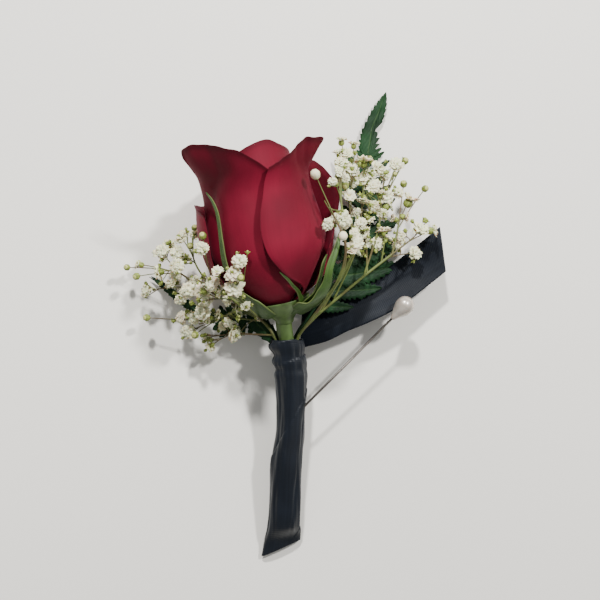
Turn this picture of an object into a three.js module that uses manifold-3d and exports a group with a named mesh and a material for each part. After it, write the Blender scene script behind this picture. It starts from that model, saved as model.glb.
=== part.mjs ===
// A rose boutonniere lying on its back: one red rose bud, baby's breath and leatherleaf fern on both
// sides, their stems bound with floral tape and wound with navy satin ribbon, and a pearl-headed pin.
// Millimetres, +Z up. The origin lies on the surface that it rests on, under the mouth of the wrap;
// the rose points along +Y.
import * as THREE from "three";
import { mergeVertices } from "three/addons/utils/BufferGeometryUtils.js";
import Module from "manifold-3d";

const wasm = await Module();
wasm.setup();

// ---- driving dimensions ----

const SEAT = 0.3; // gap that two touching pieces keep

// rose
const ROSE_BASE = new THREE.Vector3(-2.2, 11.85, 17.3); // foot of the petals
const ROSE_LEAN = 12.5; // degrees, to the left of +Y
const ROSE_RISE = 9.4; // degrees, above the surface
const PETAL_THICKNESS = 0.6;
const PETAL_PITCH = 1.15; // from one petal layer to the next
const SETTLED = 7; // height by which the layers stand apart
const OUTER_FOOT = 5.3; // radius of the outer petals' feet
const INNER_FOOT = 3.6;
// the bud's outline, as [height, radius]
const BUD_OUTLINE = [
  [0, 5.3], [2, 8.3], [5, 11.8], [10, 15.3], [17, 17.9], [26, 17.9], [38, 17.4], [45, 19.2], [52, 22],
      [60, 25],
];
const SEPAL_THICKNESS = 0.7;
const NECK_RADIUS = 2.5;
const STEM_RADIUS = 2;

// ribbon and tape
const RIBBON_WIDTH = 12.7;
const RIBBON_THICKNESS = 0.7;
const TAIL_CUT = 0.6; // rise of the slanting cut across the tail
const WRAP_CUT = 0.45;
const TAPE_GAP = 0.35;

// pin
const PIN_RADIUS = 0.4;
const PEARL_RADIUS = 3.1;
const PEARL_LENGTH = 8.6;

// baby's breath
const FLORET_RADIUS = 2.9;
const FLORET_SIDES = 10;
const BUD_RADIUS = 1.45;
const STALK_RADIUS = 0.42;
const LIMB_RADIUS = 0.5;
const SPRAY_STEM_RADIUS = 0.6;

// fern
const FROND_THICKNESS = 0.6;
const FROND_RIB_RADIUS = 0.5;

// ---- materials ----

function material(color, roughness, metalness = 0) {
  return new THREE.MeshStandardMaterial({ color, roughness, metalness });
}

const PETAL_RED = material(0x9a2f40, 0.6);
const HEART_RED = material(0x7c2534, 0.6);
const CALYX_GREEN = material(0x5a7a3a, 0.55);
const FLORET_WHITE = material(0xe6e4d8, 0.7);
const FERN_GREEN = material(0x2f5632, 0.5);
const SATIN_NAVY = material(0x23272e, 0.4);
const TAPE_GREEN = material(0x4c6a44, 0.8);
const PIN_STEEL = material(0x8a8683, 0.3, 1);
const PEARL = material(0xd8d2c8, 0.25);

// ---- shared helpers ----

const degrees = THREE.MathUtils.degToRad;
const smooth = THREE.MathUtils.smoothstep;
const lerp = THREE.MathUtils.lerp;

function point(p) {
  return new THREE.Vector3(...p);
}

function curveThrough(points) {
  return new THREE.CatmullRomCurve3(points.map((p) => (p.isVector3 ? p : point(p))));
}

function randomFrom(seed) {
  let state = seed;
  return () => {
    state = (state + 0x6d2b79f5) | 0;
    let t = Math.imul(state ^ (state >>> 15), 1 | state);
    t = (t + Math.imul(t ^ (t >>> 7), 61 | t)) ^ t;
    return ((t ^ (t >>> 14)) >>> 0) / 4294967296;
  };
}

// a smooth curve through rows of [position, value, value, ...], read at a position
function profileOf(rows) {
  const tangent = (i, k) => {
    const before = rows[Math.max(i - 1, 0)];
    const after = rows[Math.min(i + 1, rows.length - 1)];
    return (after[k] - before[k]) / (after[0] - before[0]);
  };
  return (position, k = 1) => {
    let i = 0;
    while (i < rows.length - 2 && position > rows[i + 1][0]) i += 1;
    const span = rows[i + 1][0] - rows[i][0];
    const t = THREE.MathUtils.clamp((position - rows[i][0]) / span, 0, 1);
    const a = 2 * t ** 3 - 3 * t ** 2 + 1;
    const b = t ** 3 - 2 * t ** 2 + t;
    const c = t ** 3 - t ** 2;
    return a * rows[i][k] + b * span * tangent(i, k) + (1 - a) * rows[i + 1][k] + c * span * tangent(i + 1, k);
  };
}

function mesh(name, geometry, itsMaterial) {
  const result = new THREE.Mesh(geometry, itsMaterial);
  result.name = name;
  return result;
}

// shared corners merged and faces that have shrunk to a line dropped
function weld(geometry) {
  const bare = new THREE.BufferGeometry();
  bare.setAttribute("position", geometry.getAttribute("position").clone());
  bare.setIndex(geometry.index);
  const merged = mergeVertices(bare, 1e-3);
  const kept = [];
  for (let i = 0; i < merged.index.count; i += 3) {
    const [a, b, c] = [0, 1, 2].map((k) => merged.index.getX(i + k));
    if (a !== b && b !== c && c !== a) kept.push(a, b, c);
  }
  merged.setIndex(kept);
  return merged;
}

function solidOf(geometry) {
  const welded = weld(geometry);
  return new wasm.Manifold(
    new wasm.Mesh({
      numProp: 3,
      vertProperties: new Float32Array(welded.getAttribute("position").array),
      triVerts: new Uint32Array(welded.index.array),
    }),
  );
}

// the solid's largest closed surface: hollows that joining has sealed are filled, loose scraps dropped
function geometryOf(solid) {
  const result = solid.getMesh();
  const group = Uint32Array.from({ length: result.vertProperties.length / 3 }, (_, i) => i);
  const rootOf = (i) => {
    let at = i;
    while (group[at] !== at) at = group[at] = group[group[at]];
    return at;
  };
  const corners = result.triVerts;
  for (let i = 0; i < corners.length; i += 3) {
    group[rootOf(corners[i])] = rootOf(corners[i + 1]);
    group[rootOf(corners[i + 1])] = rootOf(corners[i + 2]);
  }
  const sizes = new Map();
  for (const corner of corners) sizes.set(rootOf(corner), (sizes.get(rootOf(corner)) ?? 0) + 1);
  const largest = [...sizes].reduce((best, entry) => (entry[1] > best[1] ? entry : best))[0];
  const geometry = new THREE.BufferGeometry();
  geometry.setAttribute("position", new THREE.BufferAttribute(result.vertProperties, 3));
  geometry.setIndex([...corners].filter((_, i) => rootOf(corners[i - (i % 3)]) === largest));
  geometry.computeVertexNormals();
  return geometry;
}

function fused(geometries) {
  return geometries.map(solidOf).reduce((whole, piece) => whole.add(piece));
}

function tube(curve, radius, steps, sides) {
  const corners = [];
  for (let i = 0; i < sides; i += 1) {
    const angle = (2 * Math.PI * i) / sides;
    corners.push(new THREE.Vector2(radius * Math.cos(angle), radius * Math.sin(angle)));
  }
  return new THREE.ExtrudeGeometry(new THREE.Shape(corners), { steps, extrudePath: curve });
}

// a thin blade: a grid of (s, t), s from -1 to 1 and t from 0 to 1, laid on surface(s, t) and
// thickened half to each side, with the same triangles on both faces
function blade(across, along, thickness, surface) {
  const grid = new THREE.PlaneGeometry(2, 1, across, along);
  const corners = grid.getAttribute("position");
  const columns = across + 1;
  const count = corners.count;
  const positions = new Float32Array(count * 6);
  const nudge = 1e-3;
  for (let i = 0; i < count; i += 1) {
    const s = corners.getX(i);
    const t = corners.getY(i) + 0.5;
    const ds = s > 0 ? -nudge : nudge;
    const dt = t > 0.5 ? -nudge : nudge;
    const middle = surface(s, t);
    const sideways = surface(s + ds, t).sub(middle).multiplyScalar(Math.sign(ds));
    const forward = surface(s, t + dt).sub(middle).multiplyScalar(Math.sign(dt));
    const normal = sideways.cross(forward).setLength(thickness / 2);
    middle.clone().add(normal).toArray(positions, i * 3);
    middle.clone().sub(normal).toArray(positions, (count + i) * 3);
  }
  const index = [];
  for (let i = 0; i < grid.index.count; i += 3) {
    const [a, b, c] = [0, 1, 2].map((k) => grid.index.getX(i + k));
    index.push(a, b, c, count + a, count + c, count + b);
  }
  const wall = (a, b) => index.push(a, count + a, b, b, count + a, count + b);
  for (let i = 0; i < across; i += 1) {
    wall(i + 1, i);
    wall(along * columns + i, along * columns + i + 1);
  }
  for (let j = 0; j < along; j += 1) {
    wall(j * columns, (j + 1) * columns);
    wall((j + 2) * columns - 1, (j + 1) * columns - 1);
  }
  const geometry = new THREE.BufferGeometry();
  geometry.setAttribute("position", new THREE.BufferAttribute(positions, 3));
  geometry.setIndex(index);
  geometry.computeVertexNormals();
  return geometry;
}

// ---- rose ----

// In the rose's own frame the bud stands on the origin along +Z with its front to -Y; an azimuth is
// measured from the front towards +X.
const budRadius = profileOf(BUD_OUTLINE);

function aroundBud(azimuth, radius, height) {
  return new THREE.Vector3(radius * Math.sin(azimuth), -radius * Math.cos(azimuth), height);
}

// radius of layer `order` (0 is the outermost layer at the front, higher is further in)
function layerRadius(height, order, foot) {
  const apart = smooth(height, 0, SETTLED);
  return budRadius(height) - (OUTER_FOOT - foot) * (1 - apart) - PETAL_PITCH * order * apart;
}

// One petal. faces: how many across and along. edges: azimuth of its left and right edges by level, in
// degrees; a level is a height along the wall of the bud. rim: the rim's level from the left edge, -1,
// to the right one, 1. stand: how far the left edge, the middle and the right edge stand out from the
// layer, by level. folds: depth of the lengthwise folds across the petal.
function petalSurface({ order, foot = OUTER_FOOT, edges, rim, stand, folds = NO_FOLDS }) {
  const [edgesAt, rimAt, standAt, foldAt] = [edges, rim, stand, folds].map(profileOf);
  return (s, row) => {
    const level = rimAt(s) * row ** ROW_CROWDING;
    const side = s < 0 ? standAt(level, 1) : standAt(level, 3);
    const out = lerp(standAt(level, 2), side, s * s) + foldAt(s) * smooth(level, ...FOLD_LEVELS);
    const azimuth = lerp(edgesAt(level, 1), edgesAt(level, 2), (s + 1) / 2);
    return aroundBud(degrees(azimuth), layerRadius(level, order, foot) + out, level);
  };
}

const NO_FOLDS = [[-1, 0], [1, 0]];
const FOLD_LEVELS = [6, 24];
const ROW_CROWDING = 1.35; // over 1 sets more rows near the foot

const OUTER_PETALS = [
  {
    name: "rose_petal_front_right",
    faces: [11, 8],
    order: 0,
    edges: [[0, 40, 64], [3, 47, 56], [5.7, 36, 52], [9.7, 15, 54], [15.9, 2, 68], [20, -2, 86], [25, -3, 98],
            [31, 0, 103], [36, 6, 102], [40.5, 11, 92], [43, 15, 76], [46, 17, 68], [50, 17, 63]],
    rim: [[-1, 44.1], [-0.5, 45.9], [0, 48.2], [0.28, 50], [0.4, 50.5], [0.65, 49.9], [0.93, 49.4],
        [1, 48.2]],
    stand: [[0, 0, 0, 0], [6, 0.5, 0.1, 0.2], [12, 1.1, 0.4, 0.4], [20, 1.3, 0.6, 0.6], [28, 1, 0.4, -0.6],
            [36, 0.8, 0.1, -1.5], [40, 0.6, 0, -1], [43, 0.6, 0.2, 1.8], [46, 0.7, 0.8, 4],
                [50, 1, 1.6, 6.6]],
    folds: [[-1, 0], [-0.55, 0.15], [-0.1, 0.3], [0.3, -0.1], [0.7, 0.2], [1, 0]],
  },
  {
    name: "rose_petal_front_left",
    faces: [11, 8],
    order: 1,
    edges: [[0, -60, 28], [2.5, -65, 31], [5.5, -68, 34], [10, -90, 48], [20, -101, 50], [30, -105, 48],
            [38, -98, 44], [42, -78, 40], [45, -60, 36], [50, -54, 30], [55, -53, 30]],
    rim: [[-1, 51.9], [-0.95, 54.1], [-0.83, 55.1], [-0.61, 55.5], [-0.35, 54.7], [-0.13, 53.3],
        [0.157, 50.7],
          [0.35, 48.2], [0.57, 44.1], [0.8, 41.5], [1, 40]],
    stand: [[0, 0, 0, 0], [10, 1, 0, 0], [20, 1.9, 0, 0], [28, 1.8, 0, 0], [34, 0.8, 0, 0], [40, -0.3, 0, 0],
            [44, 0.4, 0.2, 0], [47, 1.8, 0.7, 0], [52, 2.7, 1.5, 0], [56, 2.2, 1.6, 0]],
    folds: [[-1, 0], [-0.7, 0.25], [-0.42, -0.35], [-0.12, 0.35], [0.14, -0.25], [0.36, -0.9],
        [0.6, -0.3], [1, 0]],
  },
  {
    name: "rose_petal_back",
    faces: [8, 7],
    order: 2,
    edges: [[0, 150, 225], [2.5, 145, 232], [12, 108, 262], [30, 104, 262], [44, 116, 244]],
    rim: [[-1, 40], [-0.5, 43.5], [0, 46], [0.5, 44.5], [1, 40]],
    stand: [[0, 0, 0, 0], [30, 0, 0, 0], [40, -0.4, -0.6, -0.4], [48, -1.6, -2.2, -1.6]],
  },
  {
    name: "rose_petal_guard_right",
    faces: [8, 7],
    order: -2,
    edges: [[0, 92, 132], [2.5, 84, 136], [5, 62, 160], [10, 64, 172], [16, 76, 176], [22, 85, 178],
        [30, 89, 178], [42, 92, 172]],
    rim: [[-1, 31], [-0.78, 36], [-0.55, 39.6], [-0.25, 42], [0.1, 42], [0.5, 39], [1, 32]],
    stand: [[0, 0, 0, 0], [8, -0.6, 0.2, 0], [14, -0.6, 0.4, 0], [19, 0.6, 0.7, 0], [24, 3.2, 1.1, -0.1],
            [29, 5.4, 1.6, -0.1], [34, 6.4, 2, -0.2], [42, 6, 1.6, -0.4]],
    folds: [[-1, 0], [-0.5, 0.3], [0, -0.2], [0.5, 0.3], [1, 0]],
  },
  {
    name: "rose_petal_guard_left",
    faces: [8, 7],
    order: -1,
    edges: [[0, -118, -78], [2.5, -122, -76], [5.5, -138, -76], [9, -150, -66], [20, -160, -65],
        [32, -160, -64], [38, -150, -68]],
    rim: [[-1, 30], [-0.5, 33.5], [0, 35.4], [0.5, 36.4], [1, 34]],
    stand: [[0, 0, 0, 0], [6, 0.1, 0.5, 0.3], [10, 0.2, 0.8, 0.4], [20, 0.6, 1.8, 0.4], [28, 0.7, 1.8, 0.4],
            [38, 0.3, 0.4, 0.4]],
    folds: [[-1, 0], [-0.4, 0.25], [0.2, 0.3], [0.6, 0.2], [1, 0]],
  },
];
// level of the rim's middle and azimuth of the middle, for each petal inside, the outermost first
const INNER_PETALS = [[52, 27], [49.2, 171], [48.6, 315], [47.8, 99], [46.6, 243]];
const INNER_STEP = 1.2; // layers from one inner petal to the next
const INNER_CLOSING = [ // how far they lean inwards, by level
  [0, 0], [34, 0], [38, -0.25], [42, -1.65], [45, -2.95], [48, -4.65], [50, -5.75], [54, -8.05],
];

function outerPetals() {
  return OUTER_PETALS.map((petal) => {
    return mesh(petal.name, blade(...petal.faces, PETAL_THICKNESS, petalSurface(petal)), PETAL_RED);
  });
}

function innerPetals() {
  return INNER_PETALS.map(([top, middle], i) => {
    const spread = [[0, 10], [2.5, 29], [4.5, 42], [8, 62], [13, 86], [20, 100 + 3 * i]];
    const surface = petalSurface({
      order: 3 + INNER_STEP * i,
      foot: INNER_FOOT,
      edges: spread.map(([level, half]) => [level, middle - half, middle + half]),
      rim: [[-1, top - 8], [-0.39, top - 1.8], [0, top + 0.1], [0.32, top - 2.4], [1, top - 9]],
      stand: INNER_CLOSING.map(([level, closing]) => [level, closing, closing, closing]),
    });
    return mesh(`rose_petal_inner_${i + 1}`, blade(8, 6, PETAL_THICKNESS, surface), PETAL_RED);
  });
}

// the closed heart: one long rolled petal, wound from the outside in
function roseHeart() {
  const turns = 2.2;
  const widest = 6.3;
  const tightest = 2;
  const height = 46;
  const surface = (s, t) => {
    const wound = (s + 1) / 2;
    const radius = lerp(widest, tightest, wound);
    const waist = lerp(0.42, 1, smooth(t, 0, 0.35)) * (1 - 0.25 * smooth(t, 0.7, 1) ** 2);
    const rim = height * (1 - 0.05 * Math.cos(6 * Math.PI * wound * turns * 0.5) - 0.08 * wound);
    return aroundBud(2 * Math.PI * turns * wound, radius * waist, rim * t);
  };
  return mesh("rose_heart", blade(20, 4, PETAL_THICKNESS, surface), HEART_RED);
}

// A sepal: its width, how far its face turns towards the front, and its middle line as [azimuth,
// radius, level], in degrees and mm.
const SEPALS = [
  { width: 4.3, twist: 0,
    line: [[-44, 5, -3.5], [-48, 7.7, -1.8], [-52, 10.2, 0.8], [-56, 12.2, 3.8], [-57, 14.4, 7.4],
        [-53, 16.6, 12], [-52, 17.9, 17], [-51, 18.2, 21.3], [-49, 18.2, 25.4], [-46, 17.9, 33.4],
            [-50, 17.8, 37.5], [-56, 18, 40.4]] },
  { width: 2.1, twist: 0,
    line: [[34, 5, -3.5], [42, 8, -1.4], [42, 9.6, 0.6], [36, 10.9, 2.5], [27, 12.8, 5.1],
        [19, 14.4, 7.2], [13, 15.8, 9.6], [6, 17, 12.2]] },
  { width: 5.44, twist: 30,
    line: [[48, 5, -3.6], [53, 9, -2.2], [53, 13.2, -0.9], [50, 17, 1.2], [49, 19.8, 4.5],
        [50, 22.2, 9], [57, 23.8, 14], [67, 25, 19.6]] },
  { width: 2.78, twist: 20,
    line: [[52, 5, -3.4], [56, 9.2, -1], [55, 13, 1.4], [53, 16.2, 5], [54, 18.6, 9.6], [59, 20.2, 13.6]] },
  { width: 3.92, twist: 0,
    line: [[156, 5, -3.5], [156, 7.7, -1.8], [156, 11.8, 0.3], [156, 15.2, 2.8], [156, 18.4, 7.2]] },
  { width: 3.92, twist: 0,
    line: [[-138, 5, -3.5], [-138, 7.7, -1.8], [-138, 11.2, 0.4], [-138, 15.2, 4.2], [-138, 19.2, 10.6]] },
];

function sepal({ width, twist, line }) {
  const middle = new THREE.CatmullRomCurve3(line.map(([azimuth, radius, level]) => {
    return aroundBud(degrees(azimuth), radius, level);
  }));
  const breadth = profileOf([[0, 1], [0.3, 1], [0.6, 0.62], [0.85, 0.34], [1, 0.14]]);
  const surface = (s, t) => {
    const spot = middle.getPoint(t);
    const heading = middle.getTangent(t);
    const outward = new THREE.Vector3(spot.x, spot.y, 0).normalize();
    const sideways = outward.cross(heading).normalize().negate();
    const face = sideways.clone().cross(heading);
    const half = (width / 2) * breadth(t) * s;
    const lean = degrees(twist) * smooth(t, 0, 0.4);
    return spot.addScaledVector(sideways, half * Math.cos(lean)).addScaledVector(face, half * Math.sin(lean));
  };
  return blade(2, 6, SEPAL_THICKNESS, surface);
}

function roseGroup() {
  const rose = new THREE.Group();
  rose.position.copy(ROSE_BASE);
  rose.rotation.set(degrees(ROSE_RISE - 90), 0, degrees(ROSE_LEAN), "ZXY");
  rose.updateMatrixWorld(true);
  return rose;
}

const rose = roseGroup();

// ---- wrap ----

// the wrap's sections down its length, as [y, x of the middle, z of the middle, half width, half height]
const WRAP_SECTIONS = [
  [-70, -2.6, 1.1, 6.3, 1.1],
  [-66, -2.1, 2.1, 5.9, 1.95],
  [-62, -1.6, 4.2, 5.1, 3.5],
  [-53, -1.1, 5.9, 4.9, 3.9],
  [-40, -0.5, 8, 4.75, 4.15],
  [-30, 0.6, 9.6, 4.45, 4.25],
  [-13, 0.9, 12.3, 4.85, 4.5],
  [-6, 0.2, 13.4, 4.95, 4.7],
  [0, -0.5, 14.3, 5.35, 4.95],
];
const wrapAt = profileOf(WRAP_SECTIONS);
const WRAP_FOOT = -70;
const WRAP_MOUTH = 0;
const STEMS_FOOT = -59;
const WRAP_SIDES = 16;

function wrapPoint(y, across, up) {
  return new THREE.Vector3(wrapAt(y, 1) + across, y, wrapAt(y, 2) + up);
}

// a turned profile of [share of the section, y, inset], laid on the wrap's sections
function alongWrap(profile, sides) {
  const turned = new THREE.LatheGeometry(profile.map(([share], i) => new THREE.Vector2(share, i)), sides);
  const corners = turned.getAttribute("position");
  for (let i = 0; i < corners.count; i += 1) {
    const [share, y, inset] = profile[Math.round(corners.getY(i))];
    const [side, top] = [corners.getX(i), corners.getZ(i)];
    const across = share === 0 ? 0 : (side / share) * (wrapAt(y, 3) - inset) * share;
    const up = share === 0 ? 0 : (top / share) * (wrapAt(y, 4) - inset) * share;
    const slant = WRAP_CUT * across * smooth(-y, 60, 70);
    corners.setXYZ(i, wrapAt(y, 1) + across, y + slant, wrapAt(y, 2) + up);
  }
  return turned;
}

function levels(from, to, count) {
  return Array.from({ length: count + 1 }, (_, i) => lerp(from, to, i / count));
}

function ribbonWrap(holes) {
  const outside = levels(WRAP_FOOT, WRAP_MOUTH, 11).map((y) => [1, y, 0]);
  const inside = levels(WRAP_MOUTH, STEMS_FOOT - 1, 7).map((y) => [1, y, RIBBON_THICKNESS]);
  const sleeve = alongWrap([[0, WRAP_FOOT, 0],
      ...outside, ...inside, [0, STEMS_FOOT - 1, RIBBON_THICKNESS]], WRAP_SIDES);
  return mesh("ribbon_wrap", geometryOf(cut(solidOf(sleeve), holes)), SATIN_NAVY);
}

function floralTape(holes) {
  const inset = RIBBON_THICKNESS + TAPE_GAP;
  const wall = levels(STEMS_FOOT, -5, 6).map((y) => [1, y, inset]);
  const body = alongWrap([[0, STEMS_FOOT, inset], ...wall, [0, -5, inset]], WRAP_SIDES);
  return mesh("floral_tape", geometryOf(cut(solidOf(body), holes)), TAPE_GREEN);
}

function cut(body, holes) {
  return holes.reduce((rest, hole) => rest.subtract(hole), body);
}

// ---- calyx and stem ----

const stemCurve = curveThrough([
  rose.localToWorld(new THREE.Vector3(0, 0, -4)),
  new THREE.Vector3(-1.2, 3.2, 15.2),
  wrapPoint(-4, 0, 0),
  wrapPoint(-13, 0, -0.4),
  wrapPoint(-27, 0, -0.45),
  wrapPoint(-40, 0, -0.2),
  wrapPoint(STEMS_FOOT + 1, 0, 0),
]);
const neckCurve = curveThrough([
  rose.localToWorld(new THREE.Vector3(0, 0, -3)),
  new THREE.Vector3(-1.2, 3.2, 15.2),
  new THREE.Vector3(-0.7, 1, 14.6),
]);

// the bowl under the petals' feet, as [radius, level]
const HIP_OUTLINE = [
  [0, -7.5], [2.4, -7], [2.8, -6], [3.3, -5], [4.6, -3.7], [6.4, -2.4], [8.1, -0.8], [9.1, 0.6],
  [8.5, 0.5], [6.4, -0.9], [0, -0.9],
];

function roseCalyx() {
  const hip = new THREE.LatheGeometry(
    HIP_OUTLINE.map((p) => new THREE.Vector2(...p)),
    16,
  );
  hip.rotateX(Math.PI / 2);
  const green = [hip, ...SEPALS.map(sepal)].map((geometry) => geometry.applyMatrix4(rose.matrixWorld));
  green.push(tube(neckCurve, NECK_RADIUS, 3, 10), tube(stemCurve, STEM_RADIUS, 9, 8));
  return mesh("rose_calyx", geometryOf(fused(green)), CALYX_GREEN);
}

const stemHole = solidOf(
  tube(curveThrough([...stemCurve.points.slice(1, -1), wrapPoint(STEMS_FOOT - 3, 0, 0)]), STEM_RADIUS + 0.55, 11, 10),
);

// ---- ribbon tail ----

const TAIL_LINE = [[4.2, 3.4, 8.7], [11, 5.4, 9.6], [16.6, 8.2, 9.6], [24.5, 11.5, 9.6],
    [33, 15.9, 9.5], [42, 22.6, 9.2], [50.7, 29.5, 8.8]];
const TAIL_TILT = [14, 4]; // degrees by which its lower edge stands higher, at the root and at the cut

const tailCurve = curveThrough(TAIL_LINE);

function tailSurface(s, t) {
  const length = tailCurve.getLength();
  const offset = (s * RIBBON_WIDTH) / 2;
  const run = t * length;
  const slant = TAIL_CUT * offset * smooth(t, 0.6, 1) + 0.35 * offset * (1 - smooth(t, 0, 0.35));
  const u = THREE.MathUtils.clamp(run / length, 0, 1);
  const spot = tailCurve.getPointAt(u);
  const forward = tailCurve.getTangentAt(u);
  const sideways = new THREE.Vector3(-forward.y, forward.x, 0).normalize();
  const tilt = degrees(lerp(...TAIL_TILT, t));
  return spot
    .addScaledVector(forward, slant)
    .addScaledVector(sideways, offset * Math.cos(tilt))
    .add(new THREE.Vector3(0, 0, -offset * Math.sin(tilt)));
}

// ---- pin ----

const PIN_TIP = new THREE.Vector3(-0.15, -27.15, 12.75);
const PEARL_CENTRE = new THREE.Vector3(36.9, 10.2, 14.4);
const pinDirection = PEARL_CENTRE.clone().sub(PIN_TIP).normalize();
const pinLength = PEARL_CENTRE.distanceTo(PIN_TIP);

function laidAlongPin(geometry, from) {
  const turn = new THREE.Quaternion().setFromUnitVectors(new THREE.Vector3(0, 1, 0), pinDirection);
  const place = PIN_TIP.clone().addScaledVector(pinDirection, from);
  return geometry.applyMatrix4(new THREE.Matrix4().compose(place, turn, new THREE.Vector3(1, 1, 1)));
}

function pinShaft() {
  const point = 3;
  const outline = [[0, 0], [0.12, 0], [PIN_RADIUS, point], [PIN_RADIUS, pinLength], [0, pinLength]];
  return mesh("pin_shaft", laidAlongPin(new THREE.LatheGeometry(outline.map((p) => new THREE.Vector2(...p)), 8), 0), PIN_STEEL);
}

function pinPearl() {
  const collar = 0.95;
  const bore = PIN_RADIUS + SEAT;
  const half = PEARL_LENGTH / 2;
  const outline = [
    [0, SEAT], [bore, SEAT], [bore, -half - 0.6], [collar, -half - 0.6], [1.35, -half + 0.9], [2.5, -1.3],
    [PEARL_RADIUS, 0.9], [2.85, 2.3], [1.8, 3.6], [0, half],
  ];
  const turned = new THREE.LatheGeometry(outline.map((p) => new THREE.Vector2(...p)), 12);
  return mesh("pin_pearl", laidAlongPin(turned, pinLength), PEARL);
}

const pinHole = solidOf(laidAlongPin(new THREE.CylinderGeometry(PIN_RADIUS + 0.35, PIN_RADIUS + 0.35, 14, 10), 6.4));

// ---- fern fronds ----

// The outline of a frond of this length: leaflets on both sides of the rib, each with forward teeth.
// leaflets: [place along the rib, left length, right length] as shares of the frond's length.
function frondOutline(length, leaflets, teeth) {
  const rib = (u) => lerp(0.75, 0.3, u / length);
  const side = (reach) => {
    const points = [];
    for (const row of leaflets) {
      const root = row[0] * length;
      const size = row[reach] * length;
      const angle = degrees(lerp(58, 30, row[0]));
      const half = Math.min(0.28 * size + 0.5, 2.1);
      const at = (along, across) => [
        root + along * Math.cos(angle) + across * Math.sin(angle),
        rib(root) + along * Math.sin(angle) - across * Math.cos(angle),
      ];
      const foot = half / Math.sin(angle);
      points.push([root - foot, rib(root - foot)]);
      for (let k = 1; k <= teeth; k += 1) {
        const share = k / (teeth + 1);
        const breadth = half * (1 - share ** 1.6);
        points.push(at(size * share, -breadth), at(size * (share + 0.05), -breadth * 0.62));
      }
      points.push(at(size, 0.1));
      for (let k = teeth; k >= 1; k -= 1) {
        const share = k / (teeth + 1) - 0.04;
        const breadth = half * (1 - share ** 1.6);
        points.push(at(size * (share + 0.03), breadth * 0.5), at(size * share, breadth * 0.86));
      }
      points.push([root + foot * 0.8, rib(root)]);
    }
    return points;
  };
  const right = side(2).map(([u, v]) => new THREE.Vector2(u, -v));
  const left = side(1).reverse().map(([u, v]) => new THREE.Vector2(u, v));
  return [...right, new THREE.Vector2(length, 0), ...left];
}

function frond({ line, stalk, leaflets, teeth, droop }) {
  const rib = curveThrough(line);
  const length = rib.getLength();
  const outline = new THREE.Shape(frondOutline(length, leaflets, teeth));
  const flat = new THREE.ExtrudeGeometry(outline, { depth: FROND_THICKNESS, bevelEnabled: false });
  const corners = flat.getAttribute("position");
  for (let i = 0; i < corners.count; i += 1) {
    const u = THREE.MathUtils.clamp(corners.getX(i) / length, 0, 1);
    const v = corners.getY(i);
    const spot = rib.getPointAt(u);
    const forward = rib.getTangentAt(u);
    const sideways = new THREE.Vector3(-forward.y, forward.x, 0).normalize();
    const beyond = corners.getX(i) - u * length;
    spot.addScaledVector(sideways, v).addScaledVector(forward, beyond);
    spot.z += corners.getZ(i) - droop * v * v;
    corners.setXYZ(i, spot.x, spot.y, spot.z);
  }
  const ribTube = tube(curveThrough([...stalk, ...line.slice(0, -1)]), FROND_RIB_RADIUS, 10, 4);
  return fused([flat, ribTube]);
}

const RIGHT_FROND = {
  stalk: [wrapPoint(-13, 2.1, -2.2), wrapPoint(-6, 2.1, -2.2), wrapPoint(0, 2.3, -2.2)],
  line: [[6.4, 7, 12.9], [11.8, 15, 13.4], [19, 27, 11.2], [26, 42, 7], [28, 58, 3], [32.3, 81.3, 0.7]],
  leaflets: [
    [0.08, 0.04, 0.13], [0.16, 0.05, 0.19], [0.25, 0.05, 0.21], [0.34, 0.05, 0.18], [0.43, 0.05, 0.2],
    [0.52, 0.09, 0.18], [0.61, 0.17, 0.16], [0.69, 0.11, 0.13], [0.77, 0.07, 0.09], [0.84, 0.05, 0.06],
        [0.9, 0.035, 0.04],
  ],
  teeth: 2,
  droop: 0.012,
};
const LEFT_FROND = {
  stalk: [wrapPoint(-12, -2.1, -2.2), wrapPoint(-6, -2.1, -2.2), wrapPoint(0, -2.4, -2.2)],
  line: [[-8.5, 6.4, 12], [-18, 5.6, 9], [-27, 8, 6], [-36, 13, 3.4], [-46.5, 20.5, 0.8]],
  leaflets: [[0.1, 0.12, 0.14], [0.22, 0.17, 0.2], [0.34, 0.2, 0.22], [0.46, 0.2, 0.22],
      [0.58, 0.18, 0.18], [0.7, 0.13, 0.14], [0.82, 0.08, 0.09]],
  teeth: 2,
  droop: 0.01,
};

// ---- baby's breath ----

// a double floret with its face to +Y: two rings of five petals, from a turned profile
function floret(radius, twist) {
  const rings = [[0, -1.5, 0], [radius, 0.5, 0.24], [radius * 0.6, 1.9, -0.3], [0, 1.3, 0]];
  const turned = new THREE.LatheGeometry(rings.map(([r], i) => new THREE.Vector2(r, i)), FLORET_SIDES);
  const corners = turned.getAttribute("position");
  for (let i = 0; i < corners.count; i += 1) {
    const [, height, wave] = rings[Math.round(corners.getY(i))];
    const angle = Math.atan2(corners.getZ(i), corners.getX(i));
    const swell = 1 + wave * Math.cos(5 * angle + Math.PI / 2);
    corners.setXYZ(i, corners.getX(i) * swell, height, corners.getZ(i) * swell);
  }
  return turned.rotateY(twist);
}

function closedBud(radius) {
  return new THREE.OctahedronGeometry(radius, 0).scale(1, 1.3, 1);
}

function turnedTo(geometry, facing, place) {
  const turn = new THREE.Quaternion().setFromUnitVectors(new THREE.Vector3(0, 1, 0), facing);
  return geometry.applyMatrix4(new THREE.Matrix4().compose(place, turn, new THREE.Vector3(1, 1, 1)));
}

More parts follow.
